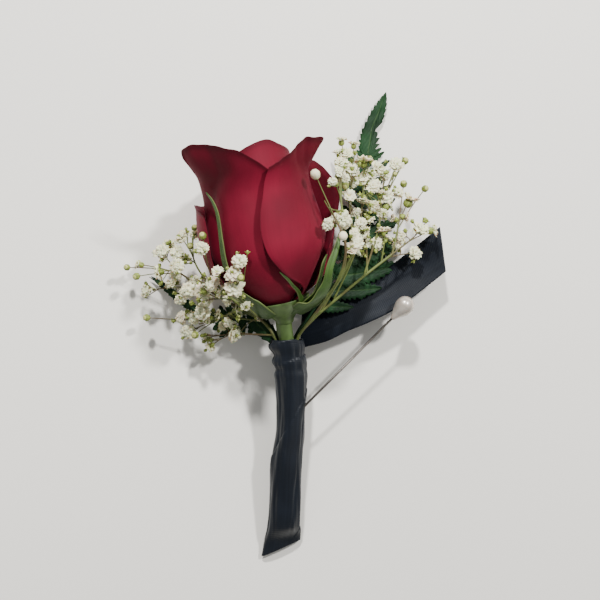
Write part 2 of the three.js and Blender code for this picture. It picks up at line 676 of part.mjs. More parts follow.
// how far the guard petals, the flared rims and the long sepals stand out from
// the bud's outline at an azimuth (radians) and a level
function outstanding(azimuth, level) {
  const within = (middle, half) => 1 - smooth(Math.abs(azimuth - degrees(middle)), degrees(half * 0.6), degrees(half));
  const guard = 7 * within(115, 75) * (1 - smooth(level, 42, 47));
  const guardLeft = 2.6 * within(-135, 75) * (1 - smooth(level, 38, 42));
  const sepalLeft = 3 * within(-52, 24) * (1 - smooth(level, 38, 41));
  const sepalRight = 9.5 * within(86, 13) * (1 - smooth(level, 20, 23));
  const flare = 3 * smooth(level, 40, 50);
  return Math.max(guard, guardLeft, sepalLeft, sepalRight, flare);
}

// moves a point straight out from the bud until it clears the petals and sepals by `room`
function clearOfRose(place, room) {
  const local = rose.worldToLocal(place.clone());
  const radius = Math.hypot(local.x, local.y);
  const level = THREE.MathUtils.clamp(local.z, 0, 56);
  const need = budRadius(level) + outstanding(Math.atan2(local.x, -local.y), level) + room;
  if (local.z > 60 || local.z < -2 || radius >= need) return place;
  local.multiply(new THREE.Vector3(need / radius, need / radius, 1));
  return rose.localToWorld(local);
}

const TRIES = 60; // places drawn for each head, of which the freest is taken

// a random place about the tip of a limb, held above the surface and clear of the rose
function drawPlace({ tip, heading, spread, floor, room }, random) {
  const offset = new THREE.Vector3(2 * random() - 1, 2 * random() - 1, 1.4 * random() - 0.7);
  if (offset.length() > 1) offset.normalize();
  const place = tip.clone().addScaledVector(offset, spread).addScaledVector(heading, 0.35 * spread);
  const clear = clearOfRose(place, room);
  clear.z = Math.max(clear.z, floor(clear.x) + room);
  return clear;
}

function freestPlace(about, heads, random) {
  let best = null;
  let bestGap = -1;
  for (let i = 0; i < TRIES; i += 1) {
    const place = drawPlace(about, random);
    const gap = Math.min(...heads.map((head) => head.distanceTo(place)), 99);
    if (gap > bestGap) [best, bestGap] = [place, gap];
  }
  return best;
}

// One spray. trunk: the main stem. limbs: from (share of the trunk), via (points on the way), tip, and
// the open florets and closed buds about it.
function spray({ trunk, limbs, floor, seed }) {
  const random = randomFrom(seed);
  const trunkCurve = curveThrough(trunk);
  const pieces = [tube(trunkCurve, SPRAY_STEM_RADIUS, 8, 4)];
  const heads = [];
  for (const limb of limbs) {
    const [tip, ...via] = [limb.tip, ...limb.via].map((p) => clearOfRose(point(p), 1.8));
    tip.z = Math.max(tip.z, floor(tip.x) + 1);
    const curve = curveThrough([trunkCurve.getPoint(limb.from), ...via, tip]);
    const heading = curve.getTangent(1);
    pieces.push(tube(curve, LIMB_RADIUS, 3, 3));
    for (let i = 0; i < limb.florets + limb.buds; i += 1) {
      const open = i < limb.florets;
      const room = open ? FLORET_RADIUS * 1.35 + 0.4 : BUD_RADIUS * 1.3 + 0.5;
      const spread = limb.spread * (open ? 1.1 : 1.45);
      const head = freestPlace({ tip, heading, spread, floor, room }, heads, random);
      heads.push(head);
      const start = curve.getPoint(0.7 + 0.2 * random());
      const bend = clearOfRose(start.clone().lerp(head, 0.5).addScaledVector(heading, 0.8), 1);
      pieces.push(tube(curveThrough([start, bend, head]), STALK_RADIUS, 2, 3));
      const facing = head.clone().sub(start).setLength(1).add(new THREE.Vector3(0, 0, 0.7)).normalize();
      const shape = open ? floret(FLORET_RADIUS * (0.86 + 0.28 * random()), 6 * random()) : closedBud(BUD_RADIUS);
      pieces.push(turnedTo(shape, facing, head));
    }
  }
  return fused(pieces);
}

const LEFT_SPRAY = {
  seed: 11,
  floor: profileOf([[-56, 0], [-46, 1.4], [-36, 4], [-27, 6.6], [-18, 9.6], [-8.5, 12.4]]),
  trunk: [wrapPoint(-12, -3.05, 0), wrapPoint(-5, -3.1, 0), wrapPoint(0.5, -3.7, 0), [-8.2, 6, 14.6],
      [-15, 9.6, 15.6], [-24, 15, 15.5], [-33, 20, 13]],
  limbs: [
    { from: 0.66, via: [[-20, 19, 20]], tip: [-26, 27.5, 22], florets: 2, buds: 2, spread: 5.5 },
    { from: 0.8, via: [[-27.5, 24, 17]], tip: [-33.5, 31, 17.5], florets: 3, buds: 1, spread: 6.5 },
    { from: 1, via: [], tip: [-41, 25, 10.5], florets: 3, buds: 3, spread: 7 },
    { from: 0.9, via: [], tip: [-39, 16, 8.5], florets: 2, buds: 0, spread: 5.5 },
    { from: 0.72, via: [[-26, 12.5, 14]], tip: [-32, 13.4, 12], florets: 2, buds: 0, spread: 5.5 },
    { from: 0.6, via: [[-20, 9, 14]], tip: [-30, 6.6, 8], florets: 3, buds: 1, spread: 6.5 },
    { from: 0.52, via: [[-15, 4, 15.5]], tip: [-20, 1.6, 13], florets: 2, buds: 0, spread: 6 },
    { from: 0.62, via: [[-20.5, 12, 22]], tip: [-20, 19, 29], florets: 3, buds: 1, spread: 6 },
    { from: 0.5, via: [[-13, 6, 20]], tip: [-14, 7.5, 25.5], florets: 2, buds: 0, spread: 5 },
    { from: 0.84, via: [[-34, 10, 8]], tip: [-42, 8.5, 4.5], florets: 1, buds: 2, spread: 5 },
    { from: 0.46, via: [[-11, 3, 12.5]], tip: [-22.5, -1.6, 6.5], florets: 2, buds: 0, spread: 4 },
  ],
};
const RIGHT_SPRAY = {
  seed: 29,
  floor: profileOf([[0, 14], [24, 11.6], [34, 11.6], [52, 10.6]]),
  trunk: [wrapPoint(-12, 3.05, 0), wrapPoint(-5, 3.1, 0), wrapPoint(0.5, 3.6, 0), [8.4, 7, 16],
      [15.6, 12.2, 17.6], [23.6, 20, 18.5], [31, 29, 17]],
  limbs: [
    { from: 0.72, via: [[19, 24, 22], [18, 38, 23]], tip: [18, 50, 22], florets: 3, buds: 1, spread: 6.5 },
    { from: 0.8, via: [[24.5, 34, 20], [24, 46, 20]], tip: [22.5, 56, 19], florets: 3, buds: 2, spread: 7 },
    { from: 0.86, via: [[28, 36, 19]], tip: [28, 48, 19], florets: 3, buds: 1, spread: 6.5 },
    { from: 0.9, via: [[31, 42, 16]], tip: [32.5, 53, 14.5], florets: 3, buds: 2, spread: 6.5 },
    { from: 0.7, via: [[18.3, 22, 23.5]], tip: [16.4, 35, 26], florets: 2, buds: 1, spread: 5 },
    { from: 0.76, via: [], tip: [24, 32.5, 20], florets: 3, buds: 0, spread: 6 },
    { from: 0.9, via: [], tip: [29, 33, 18.5], florets: 1, buds: 0, spread: 4 },
    { from: 1, via: [[34.5, 38, 15]], tip: [36, 45.5, 13], florets: 2, buds: 2, spread: 6 },
    { from: 1, via: [], tip: [41.5, 34.8, 15], florets: 2, buds: 2, spread: 5 },
    { from: 0.95, via: [], tip: [38, 29.5, 14.6], florets: 1, buds: 0, spread: 3 },
    { from: 0.74, via: [[20.5, 23, 21]], tip: [20.5, 29, 22.5], florets: 2, buds: 0, spread: 5 },
    { from: 1, via: [[39, 40, 13]], tip: [42, 47.5, 10], florets: 0, buds: 2, spread: 5 },
  ],
};

function holeAlong(points, radius) {
  return solidOf(tube(curveThrough(points), radius + 0.42, 3, 6));
}

// ---- assembly ----

const stalkHoles = [
  holeAlong([wrapPoint(-14, -3.05, 0), ...LEFT_SPRAY.trunk.slice(0, 3)], SPRAY_STEM_RADIUS),
  holeAlong([wrapPoint(-14, 3.05, 0), ...RIGHT_SPRAY.trunk.slice(0, 3)], SPRAY_STEM_RADIUS),
  holeAlong([wrapPoint(-15, -2.1, -2.2), ...LEFT_FROND.stalk], FROND_RIB_RADIUS),
  holeAlong([wrapPoint(-15, 2.1, -2.2), ...RIGHT_FROND.stalk], FROND_RIB_RADIUS),
];

rose.add(...outerPetals(), ...innerPetals(), roseHeart());

const boutonniere = new THREE.Group();
boutonniere.add(
  rose,
  roseCalyx(),
  mesh("gypsophila_left", geometryOf(spray(LEFT_SPRAY)), FLORET_WHITE),
  mesh("gypsophila_right", geometryOf(spray(RIGHT_SPRAY)), FLORET_WHITE),
  mesh("fern_left", geometryOf(frond(LEFT_FROND)), FERN_GREEN),
  mesh("fern_right", geometryOf(frond(RIGHT_FROND)), FERN_GREEN),
  floralTape([stemHole, ...stalkHoles, pinHole]),
  ribbonWrap([pinHole]),
  mesh("ribbon_tail", blade(3, 12, RIBBON_THICKNESS, tailSurface), SATIN_NAVY),
  pinShaft(),
  pinPearl(),
);

// the origin is moved to the middle of the part's footprint, on the surface
const extent = new THREE.Box3().setFromObject(boutonniere, true);
const middle = extent.getCenter(new THREE.Vector3());
const part = new THREE.Group();
boutonniere.position.set(-middle.x, -middle.y, -extent.min.z);
part.add(boutonniere);

export default part;
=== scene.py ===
"""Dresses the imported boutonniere: a rose bud, baby's breath and fern, wound with satin ribbon and pinned.

Lengths inside the modelling functions are millimetres in the part's own frame, whose origin lies under
the mouth of the ribbon wrap, with the rose towards +Y and +Z up. Everything that reaches Blender is in
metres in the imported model's frame.
"""

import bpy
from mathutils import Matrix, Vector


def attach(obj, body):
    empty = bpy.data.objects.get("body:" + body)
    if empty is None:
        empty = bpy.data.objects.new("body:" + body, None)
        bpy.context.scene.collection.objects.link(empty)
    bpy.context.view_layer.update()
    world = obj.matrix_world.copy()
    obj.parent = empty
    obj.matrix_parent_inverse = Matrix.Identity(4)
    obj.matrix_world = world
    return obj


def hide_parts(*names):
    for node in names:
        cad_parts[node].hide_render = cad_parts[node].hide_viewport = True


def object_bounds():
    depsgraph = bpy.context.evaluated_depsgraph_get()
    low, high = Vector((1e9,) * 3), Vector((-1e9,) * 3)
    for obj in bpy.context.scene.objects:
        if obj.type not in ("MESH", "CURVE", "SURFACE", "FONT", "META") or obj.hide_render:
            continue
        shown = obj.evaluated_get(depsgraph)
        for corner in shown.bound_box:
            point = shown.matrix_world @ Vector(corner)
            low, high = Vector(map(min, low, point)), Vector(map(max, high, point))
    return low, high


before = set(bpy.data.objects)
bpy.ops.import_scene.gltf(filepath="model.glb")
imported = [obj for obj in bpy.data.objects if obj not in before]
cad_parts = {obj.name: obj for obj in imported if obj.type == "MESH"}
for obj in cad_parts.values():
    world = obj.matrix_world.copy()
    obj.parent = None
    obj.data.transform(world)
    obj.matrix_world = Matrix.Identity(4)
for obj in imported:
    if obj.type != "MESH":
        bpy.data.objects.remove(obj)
CAD_BOX = [list(corner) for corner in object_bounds()]

import math

import bmesh
import bpy
from bpy.props import FloatProperty, FloatVectorProperty, IntProperty, PointerProperty
from mathutils import Matrix, Vector, noise

bl_info = {
    "name": "Boutonniere dresser",
    "version": (1, 0, 0),
    "blender": (4, 5, 0),
    "location": "View3D > Sidebar > Boutonniere",
    "description": "Builds the petals, sprays, fern, ribbon and pin of a rose boutonniere",
    "category": "Object",
}

MM = 0.001
RIM_SHARE = 0.25  # thickness of a thinned rim, as a share of the sheet's
WELD = 1e-3  # points this close, in millimetres, become one where a shape closes on itself
WRAP_MOUTH_CENTRE = Vector((-0.5, 0, 14.3))  # of the ribbon wrap, in the part's own frame


def part_origin():
    """Where the part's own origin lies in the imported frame, read from the rim at the wrap's mouth."""
    corners = [v.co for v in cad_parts["ribbon_wrap"].data.vertices]
    mouth = max(corner.y for corner in corners)
    rim = {tuple(round(x, 7) for x in corner) for corner in corners if corner.y > mouth - 1e-5}
    centre = sum((Vector(corner) for corner in rim), Vector()) / len(rim)
    return centre - WRAP_MOUTH_CENTRE * MM


PLACE = Matrix.Translation(part_origin()) @ Matrix.Scale(MM, 4)


# ---- shape helpers ----


def clamp(value, low=0.0, high=1.0):
    return max(low, min(high, value))


def lerp(a, b, share):
    return a + (b - a) * share


def smooth(value, start, end):
    """0 before start, 1 after end, and a soft step between them."""
    t = clamp((value - start) / (end - start))
    return t * t * (3 - 2 * t)


def uneven(x, y, z):
    """Smooth unevenness of about -1 to 1, always the same at a place."""
    return noise.noise(Vector((x, y, z)))


def profile(rows):
    """A smooth curve through rows of [position, value, value, ...], read at a position."""

    def tangent(i, k):
        before, after = rows[max(i - 1, 0)], rows[min(i + 1, len(rows) - 1)]
        return (after[k] - before[k]) / (after[0] - before[0])

    def read(position, k=1):
        i = 0
        while i < len(rows) - 2 and position > rows[i + 1][0]:
            i += 1
        span = rows[i + 1][0] - rows[i][0]
        t = clamp((position - rows[i][0]) / span)
        near = 2 * t**3 - 3 * t**2 + 1
        leaving, arriving = t**3 - 2 * t**2 + t, t**3 - t**2
        value = near * rows[i][k] + (1 - near) * rows[i + 1][k]
        return value + span * (leaving * tangent(i, k) + arriving * tangent(i + 1, k))

    return read


def draws(seed):
    """Evenly spread random numbers from 0 to 1, the same ones that the solids were laid out with."""
    state = seed
    word = 0xFFFFFFFF

    def draw():
        nonlocal state
        state = (state + 0x6D2B79F5) & word
        mixed = ((state ^ (state >> 15)) * (1 | state)) & word
        mixed = ((mixed + (mixed ^ (mixed >> 7)) * (61 | mixed)) & word) ^ mixed
        return (mixed ^ (mixed >> 14)) / (word + 1)

    return draw


class Path:
    """A smooth line through points, with tighter bends where the points are closer together."""

    STEPS = 200

    def __init__(self, points):
        self.points = [Vector(p) for p in points]
        spots = [self.point(i / self.STEPS) for i in range(self.STEPS + 1)]
        self.reached = [0.0]
        for here, there in zip(spots, spots[1:]):
            self.reached.append(self.reached[-1] + (there - here).length)
        self.length = self.reached[-1]

    def point(self, t):
        last = len(self.points) - 1
        i = min(int(last * t), last - 1)
        share = last * t - i
        start, end = self.points[i], self.points[i + 1]
        before = self.points[i - 1] if i else start * 2 - end
        after = self.points[i + 2] if i + 2 <= last else end * 2 - start
        reach = [math.sqrt((b - a).length) for a, b in ((before, start), (start, end), (end, after))]
        span = reach[1]
        leave = (start - before) / reach[0] - (end - before) / (reach[0] + span) + (end - start) / span
        arrive = (end - start) / span - (after - start) / (span + reach[2]) + (after - end) / reach[2]
        leave, arrive = leave * span, arrive * span
        bend = (end - start) * 3 - leave * 2 - arrive
        turn = (start - end) * 2 + leave + arrive
        return start + leave * share + bend * share**2 + turn * share**3

    def tangent(self, t):
        step = 1e-3
        return (self.point(min(t + step, 1)) - self.point(max(t - step, 0))).normalized()

    def share(self, run):
        """The t at which this share of the length has been run."""
        target = clamp(run) * self.length
        i = 0
        while i < self.STEPS - 1 and self.reached[i + 1] < target:
            i += 1
        step = self.reached[i + 1] - self.reached[i]
        return clamp((i + (target - self.reached[i]) / step) / self.STEPS)

    def at(self, run):
        """The point and the direction at this share of the length."""
        t = self.share(run)
        return self.point(t), self.tangent(t)


def surface_mesh(bm, across, along, surface):
    """Adds a sheet of across by along faces: surface(s, t) places it, s from -1 to 1 and t from 0 to 1."""
    bm.loops.layers.uv.verify()
    made = bmesh.ops.create_grid(bm, x_segments=across, y_segments=along, size=1, calc_uvs=True)
    for vert in made["verts"]:
        vert.co = surface(vert.co.x, (vert.co.y + 1) / 2)
    return made["verts"]


def sheet_mesh(across, along, surface):
    """A mesh of one sheet."""
    bm = bmesh.new()
    surface_mesh(bm, across, along, surface)
    return bm


def turned(outline, sides):
    """A solid of revolution about Z from rows of (radius, height), closed where the radius is 0."""
    bm = bmesh.new()
    verts = [bm.verts.new((radius, 0, height)) for radius, height in outline]
    edges = [bm.edges.new(pair) for pair in zip(verts, verts[1:])]
    full_turn = {"axis": (0, 0, 1), "cent": (0, 0, 0), "angle": math.tau, "steps": sides, "use_merge": True}
    bmesh.ops.spin(bm, geom=verts + edges, **full_turn)
    bmesh.ops.remove_doubles(bm, verts=bm.verts, dist=WELD)
    return bm


def add_piece(name, mesh, finish, stands_for=()):
    """Shows a mesh as a piece of the part, in place of the named solids."""
    made = bpy.data.objects.new(name, mesh)
    bpy.context.scene.collection.objects.link(made)
    mesh.materials.append(finish)
    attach(made, "root")
    if stands_for:
        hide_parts(*stands_for)
    return made


def add_modelled(name, bm, finish, stands_for=(), matrix=Matrix()):
    """Shows modelled millimetres as a piece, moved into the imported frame, with its faces outwards."""
    bmesh.ops.transform(bm, matrix=PLACE @ matrix, verts=bm.verts)
    bmesh.ops.recalc_face_normals(bm, faces=bm.faces)
    mesh = bpy.data.meshes.new(name)
    bm.to_mesh(mesh)
    bm.free()
    mesh.shade_smooth()
    return add_piece(name, mesh, finish, stands_for)


def thicken(made, thickness, rims=None):
    """Gives a sheet its thickness, half to each side. rims names a vertex group that thins it."""
    wall = made.modifiers.new("thickness", "SOLIDIFY")
    wall.thickness = thickness
    wall.offset = 0
    if rims:
        wall.vertex_group = rims
        wall.thickness_vertex_group = RIM_SHARE
    return wall


def soften(made):
    rounded = made.modifiers.new("rounding", "SUBSURF")
    rounded.levels = rounded.render_levels = 1


def stem_mesh(name, stems, resolution=1):
    """Round stems with closed ends, each a list of points and a list of radii in millimetres."""
    curve = bpy.data.curves.new(name, "CURVE")
    curve.dimensions = "3D"
    curve.bevel_depth = MM
    curve.bevel_resolution = resolution
    curve.use_fill_caps = True
    for points, radii in stems:
        spline = curve.splines.new("POLY")
        spline.points.add(len(points) - 1)
        for spot, place, radius in zip(spline.points, points, radii):
            spot.co = (*(PLACE @ Vector(place)), 1)
            spot.radius = radius
    holder = bpy.data.objects.new(name, curve)
    bpy.context.scene.collection.objects.link(holder)
    shaped = holder.evaluated_get(bpy.context.evaluated_depsgraph_get())
    mesh = bpy.data.meshes.new_from_object(shaped)
    bpy.data.objects.remove(holder)
    bpy.data.curves.remove(curve)
    mesh.name = name
    mesh.shade_smooth()
    return mesh


# ---- material helpers ----


def tint(red, green, blue):
    """A screen colour of 0 to 255 as the linear colour that Blender's sockets take."""
    shares = (value / 255 for value in (red, green, blue))
    return tuple(x / 12.92 if x <= 0.04045 else ((x + 0.055) / 1.055) ** 2.4 for x in shares)


def dimmed(colour, share):
    """A colour whose channels are each a share of this one's. Over 1, the share brightens it."""
    return tuple(channel * share for channel in colour)


class Value:
    """A node's output that takes part in sums, so that shader maths reads as an expression."""

    def __init__(self, finish, socket):
        self.finish = finish
        self.socket = socket

    def maths(self, operation, *others):
        return self.finish.maths(operation, self, *others)

    def __add__(self, other):
        return self.maths("ADD", other)

    def __sub__(self, other):
        return self.maths("SUBTRACT", other)

    def __rsub__(self, other):
        return self.finish.maths("SUBTRACT", other, self)

    def __mul__(self, other):
        return self.maths("MULTIPLY", other)

    __radd__ = __add__
    __rmul__ = __mul__

    def step(self, start, end):
        """0 where this value is at start, 1 where it is at end, with a soft step between."""
        settings = {"interpolation_type": "SMOOTHSTEP"}
        inputs = {"Value": self, "From Min": start, "From Max": end}
        return self.finish.node("ShaderNodeMapRange", settings, inputs)


class Finish:
    """One procedural material, from its nodes to its shader."""

    def __init__(self, name):
        self.material = bpy.data.materials.new(name)
        self.material.use_nodes = True
        self.tree = self.material.node_tree
        self.shader = self.tree.nodes["Principled BSDF"]

    def feed(self, socket, value):
        if isinstance(value, Value):
            self.tree.links.new(value.socket, socket)
        elif hasattr(value, "__len__") and len(value) == 3 and socket.type == "RGBA":
            socket.default_value = (*value, 1)
        else:
            socket.default_value = value

    def node(self, kind, settings=None, inputs=None, output=0):
        """Adds a node. Its settings are set first, then each input gets its value or link."""
        made = self.tree.nodes.new(kind)
        for key, value in (settings or {}).items():
            setattr(made, key, value)
        for key, value in (inputs or {}).items():
            self.feed(made.inputs[key], value)
        return Value(self, made.outputs[output])

    def maths(self, operation, *values):
        return self.node("ShaderNodeMath", {"operation": operation}, dict(enumerate(values)))

    def place(self):
        return self.node("ShaderNodeTexCoord", output="Object")

    def split(self, vector):
        parts = self.tree.nodes.new("ShaderNodeSeparateXYZ")
        self.feed(parts.inputs[0], vector)
        return [Value(self, output) for output in parts.outputs]

    def uv(self):
        """The piece's own map: how far across and how far along each sheet."""
        return self.split(self.node("ShaderNodeTexCoord", output="UV"))[:2]

    def scaled(self, vector, scale):
        return self.node("ShaderNodeMapping", inputs={"Vector": vector, "Scale": scale})

    def noise(self, vector, scale, detail, roughness=0.5):
        inputs = {"Vector": vector, "Scale": scale, "Detail": detail, "Roughness": roughness}
        return self.node("ShaderNodeTexNoise", inputs=inputs)

    def grain(self, scale, detail, stretch=(1, 1, 1), roughness=0.5):
        """Noise in the piece's own space. It is drawn out along an axis whose stretch is under 1."""
        return self.noise(self.scaled(self.place(), stretch), scale, detail, roughness)

    def fibres(self, stretch, scale, detail):
        """Noise along a sheet's own map, which is first stretched across and along by two numbers."""
        sheet = self.node("ShaderNodeTexCoord", output="UV")
        return self.noise(self.scaled(sheet, (*stretch, 1)), scale, detail)

    def mix(self, share, first, second):
        """From the first colour, where share is 0, to the second, where it is 1."""
        settings = {"data_type": "RGBA"}
        return self.node("ShaderNodeMix", settings, {0: share, 6: first, 7: second}, output=2)

    def patched(self, patches, colour, share):
        """The colour where patches is 1, falling to a share of its brightness where it is 0."""
        return self.mix(patches, dimmed(colour, share), colour)

    def bump(self, height, strength, distance):
        inputs = {"Height": height, "Strength": strength, "Distance": distance}
        return self.node("ShaderNodeBump", inputs=inputs)

    def shade(self, **inputs):
        """Sets the shader's own sockets, named with _ for each space, and returns the material."""
        for key, value in inputs.items():
            self.feed(self.shader.inputs[key.replace("_", " ")], value)
        return self.material


# ---- rose ----

# In the bud's own frame it stands on the origin along +Z with its front to -Y; an azimuth is measured
# from the front towards +X, and a level is a height along the wall of the bud.
ROSE_BASE = (-2.2, 11.85, 17.3)
ROSE_LEAN = math.radians(12.5)
ROSE_RISE = math.radians(9.4)
ROSE = (
    Matrix.Translation(ROSE_BASE)
    @ Matrix.Rotation(ROSE_LEAN, 4, "Z")
    @ Matrix.Rotation(ROSE_RISE - math.pi / 2, 4, "X")
)
ROSE_BACK = ROSE.inverted()

BUD_OUTLINE = profile([
    [0, 5.3], [2, 8.3], [5, 11.8], [10, 15.3], [17, 17.9], [26, 17.9], [38, 17.4], [45, 19.2], [52, 22],
    [60, 25],
])
PETAL_PITCH = 1.15
OUTER_FOOT = 5.3
INNER_FOOT = 3.6
HEART_TURNS = 2.2
HEART_RADII = (6.3, 2)
HEART_HEIGHT = 46
HEART_FACES = (120, 24)  # across and along, as for every sheet below
ROW_CROWDING = 1.35


def around_bud(azimuth, radius, height):
    return Vector((radius * math.sin(azimuth), -radius * math.cos(azimuth), height))


def layer_radius(level, order, foot):
    """Radius of a petal layer; layer 0 is the outermost at the front, a higher one lies further in."""
    apart = smooth(level, 0, 7)
    return BUD_OUTLINE(level) - (OUTER_FOOT - foot) * (1 - apart) - PETAL_PITCH * order * apart


# edges: the azimuth of the left and of the right edge, by level. rim: the level of the rim from the left
# edge, -1, to the right one, 1. stand: how far the left edge, the middle and the right edge stand out from
# the layer, by level. folds: the depth of the lengthwise folds, across the petal.
OUTER_PETALS = [
    {
        "name": "petal_front_right",
        "order": 0,
        "edges": [
            [0, 40, 64], [3, 47, 56], [5.7, 36, 52], [9.7, 15, 54], [15.9, 2, 68], [20, -2, 86],
            [25, -3, 98], [31, 0, 103], [36, 6, 102], [40.5, 11, 92], [43, 15, 76], [46, 17, 68],
            [50, 17, 63],
        ],
        "rim": [
            [-1, 44.1], [-0.5, 45.9], [0, 48.2], [0.28, 50], [0.4, 50.5], [0.65, 49.9], [0.93, 49.4],
            [1, 48.2],
        ],
        "stand": [
            [0, 0, 0, 0], [6, 0.5, 0.1, 0.2], [12, 1.1, 0.4, 0.4], [20, 1.3, 0.6, 0.6], [28, 1, 0.4, -0.6],
            [36, 0.8, 0.1, -1.5], [40, 0.6, 0, -1], [43, 0.6, 0.2, 1.8], [46, 0.7, 0.8, 4],
            [50, 1, 1.6, 6.6],
        ],
        "folds": [[-1, 0], [-0.55, 0.15], [-0.1, 0.3], [0.3, -0.1], [0.7, 0.2], [1, 0]],
    },
    {
        "name": "petal_front_left",
        "order": 1,
        "edges": [
            [0, -60, 28], [2.5, -65, 31], [5.5, -68, 34], [10, -90, 48], [20, -101, 50], [30, -105, 48],
            [38, -98, 44], [42, -78, 40], [45, -60, 36], [50, -54, 30], [55, -53, 30],
        ],
        "rim": [
            [-1, 51.9], [-0.95, 54.1], [-0.83, 55.1], [-0.61, 55.5], [-0.35, 54.7], [-0.13, 53.3],
            [0.157, 50.7], [0.35, 48.2], [0.57, 44.1], [0.8, 41.5], [1, 40],
        ],
        "stand": [
            [0, 0, 0, 0], [10, 1, 0, 0], [20, 1.9, 0, 0], [28, 1.8, 0, 0], [34, 0.8, 0, 0],
            [40, -0.3, 0, 0], [44, 0.4, 0.2, 0], [47, 1.8, 0.7, 0], [52, 2.7, 1.5, 0], [56, 2.2, 1.6, 0],
        ],
        "folds": [
            [-1, 0], [-0.7, 0.25], [-0.42, -0.35], [-0.12, 0.35], [0.14, -0.25], [0.36, -0.9], [0.6, -0.3],
            [1, 0],
        ],
    },
    {
        "name": "petal_back",
        "order": 2,
        "edges": [[0, 150, 225], [2.5, 145, 232], [12, 108, 262], [30, 104, 262], [44, 116, 244]],
        "rim": [[-1, 40], [-0.5, 43.5], [0, 46], [0.5, 44.5], [1, 40]],
        "stand": [[0, 0, 0, 0], [30, 0, 0, 0], [40, -0.4, -0.6, -0.4], [48, -1.6, -2.2, -1.6]],
    },
    {
        "name": "petal_guard_right",
        "order": -2,
        "edges": [
            [0, 92, 132], [2.5, 84, 136], [5, 62, 160], [10, 64, 172], [16, 76, 176], [22, 85, 178],
            [30, 89, 178], [42, 92, 172],
        ],
        "rim": [[-1, 31], [-0.78, 36], [-0.55, 39.6], [-0.25, 42], [0.1, 42], [0.5, 39], [1, 32]],
        "stand": [
            [0, 0, 0, 0], [8, -0.6, 0.2, 0], [14, -0.6, 0.4, 0], [19, 0.6, 0.7, 0], [24, 3.2, 1.1, -0.1],
            [29, 5.4, 1.6, -0.1], [34, 6.4, 2, -0.2], [42, 6, 1.6, -0.4],
        ],
        "folds": [[-1, 0], [-0.5, 0.3], [0, -0.2], [0.5, 0.3], [1, 0]],
    },
    {
        "name": "petal_guard_left",
        "order": -1,
        "edges": [
            [0, -118, -78], [2.5, -122, -76], [5.5, -138, -76], [9, -150, -66], [20, -160, -65],
            [32, -160, -64], [38, -150, -68],
        ],
        "rim": [[-1, 30], [-0.5, 33.5], [0, 35.4], [0.5, 36.4], [1, 34]],
        "stand": [
            [0, 0, 0, 0], [6, 0.1, 0.5, 0.3], [10, 0.2, 0.8, 0.4], [20, 0.6, 1.8, 0.4], [28, 0.7, 1.8, 0.4],
            [38, 0.3, 0.4, 0.4],
        ],
        "folds": [[-1, 0], [-0.4, 0.25], [0.2, 0.3], [0.6, 0.2], [1, 0]],
    },
]
# the level of its rim and the azimuth of its middle, for each petal inside, the outermost first
INNER_PETALS = [(52, 27), (49.2, 171), (48.6, 315), (47.8, 99), (46.6, 243)]
# across a petal inside, how far its rim rises over that level
INNER_RIM = [
    [-1, -8], [-0.6, -4], [-0.39, -1.8], [-0.14, 0], [0.09, 0.1], [0.32, -2.4], [0.64, -5.4], [1, -9],
]
# how far a petal inside leans in, by level
INNER_CLOSING = [
    [0, 0], [34, 0], [38, -0.25], [42, -1.65], [45, -2.95], [48, -4.65], [50, -5.75], [54, -8.05],
]


def inner_petal(i):
    top, middle = INNER_PETALS[i]
    spread = [[0, 10], [2.5, 29], [4.5, 42], [8, 62], [13, 86], [20, 100 + 3 * i]]
    return {
        "name": f"petal_inner_{i + 1}",
        "order": 3 + 1.2 * i,
        "foot": INNER_FOOT,
        "edges": [[level, middle - half, middle + half] for level, half in spread],
        "rim": [[s, top + rise] for s, rise in INNER_RIM],
        "stand": [[level, closing, closing, closing] for level, closing in INNER_CLOSING],
    }


def petal_surface(petal, ripple):
    """The middle surface of one petal. ripple is how deep its soft unevenness is."""
    order, foot = petal["order"], petal.get("foot", OUTER_FOOT)
    edges, rim, stand = profile(petal["edges"]), profile(petal["rim"]), profile(petal["stand"])
    folds = profile(petal.get("folds", [[-1, 0], [1, 0]]))
    seed = Vector((order * 3.7, petal["edges"][-1][1] * 0.11, 0))

    def surface(s, row):
        t = row**ROW_CROWDING
        level = rim(s) * t
        radius = layer_radius(level, order, foot)
        side = stand(level, 1) if s < 0 else stand(level, 3)
        radius += lerp(stand(level, 2), side, s * s)
        radius += folds(s) * smooth(level, 6, 24)
        spot = Vector((1.6 * s, 2.2 * t, 0)) + seed
        radius += ripple * noise.noise(spot) * smooth(t, 0.05, 0.4)
        radius += 0.6 * smooth(t, 0.94, 1) ** 2
        rise = level + ripple * noise.noise(Vector((5 * s, 0, 3)) + seed) * smooth(t, 0.6, 1)
        azimuth = math.radians(lerp(edges(level, 1), edges(level, 2), (s + 1) / 2))
        return around_bud(azimuth, radius, rise)

    return surface


def thin_rims(made, columns, rows):
    """A vertex group that is full inside a sheet and falls to nothing at its side and top edges."""
    rim_faces = 2.5
    group = made.vertex_groups.new(name="body")
    layer = made.data.uv_layers[0].data
    for loop in made.data.loops:
        u, v = layer[loop.index].uv
        edge = min(u, 1 - u) * columns, (1 - v) * rows
        group.add([loop.vertex_index], smooth(min(edge), 0, rim_faces), "REPLACE")
    return group.name


def build_petal(petal, finish, look, across, along):
    bm = sheet_mesh(across, along, petal_surface(petal, look.ripple))
    made = add_modelled(petal["name"], bm, finish, ["rose_" + petal["name"]], ROSE)
    thicken(made, look.petal_thickness, thin_rims(made, across, along))
    soften(made)


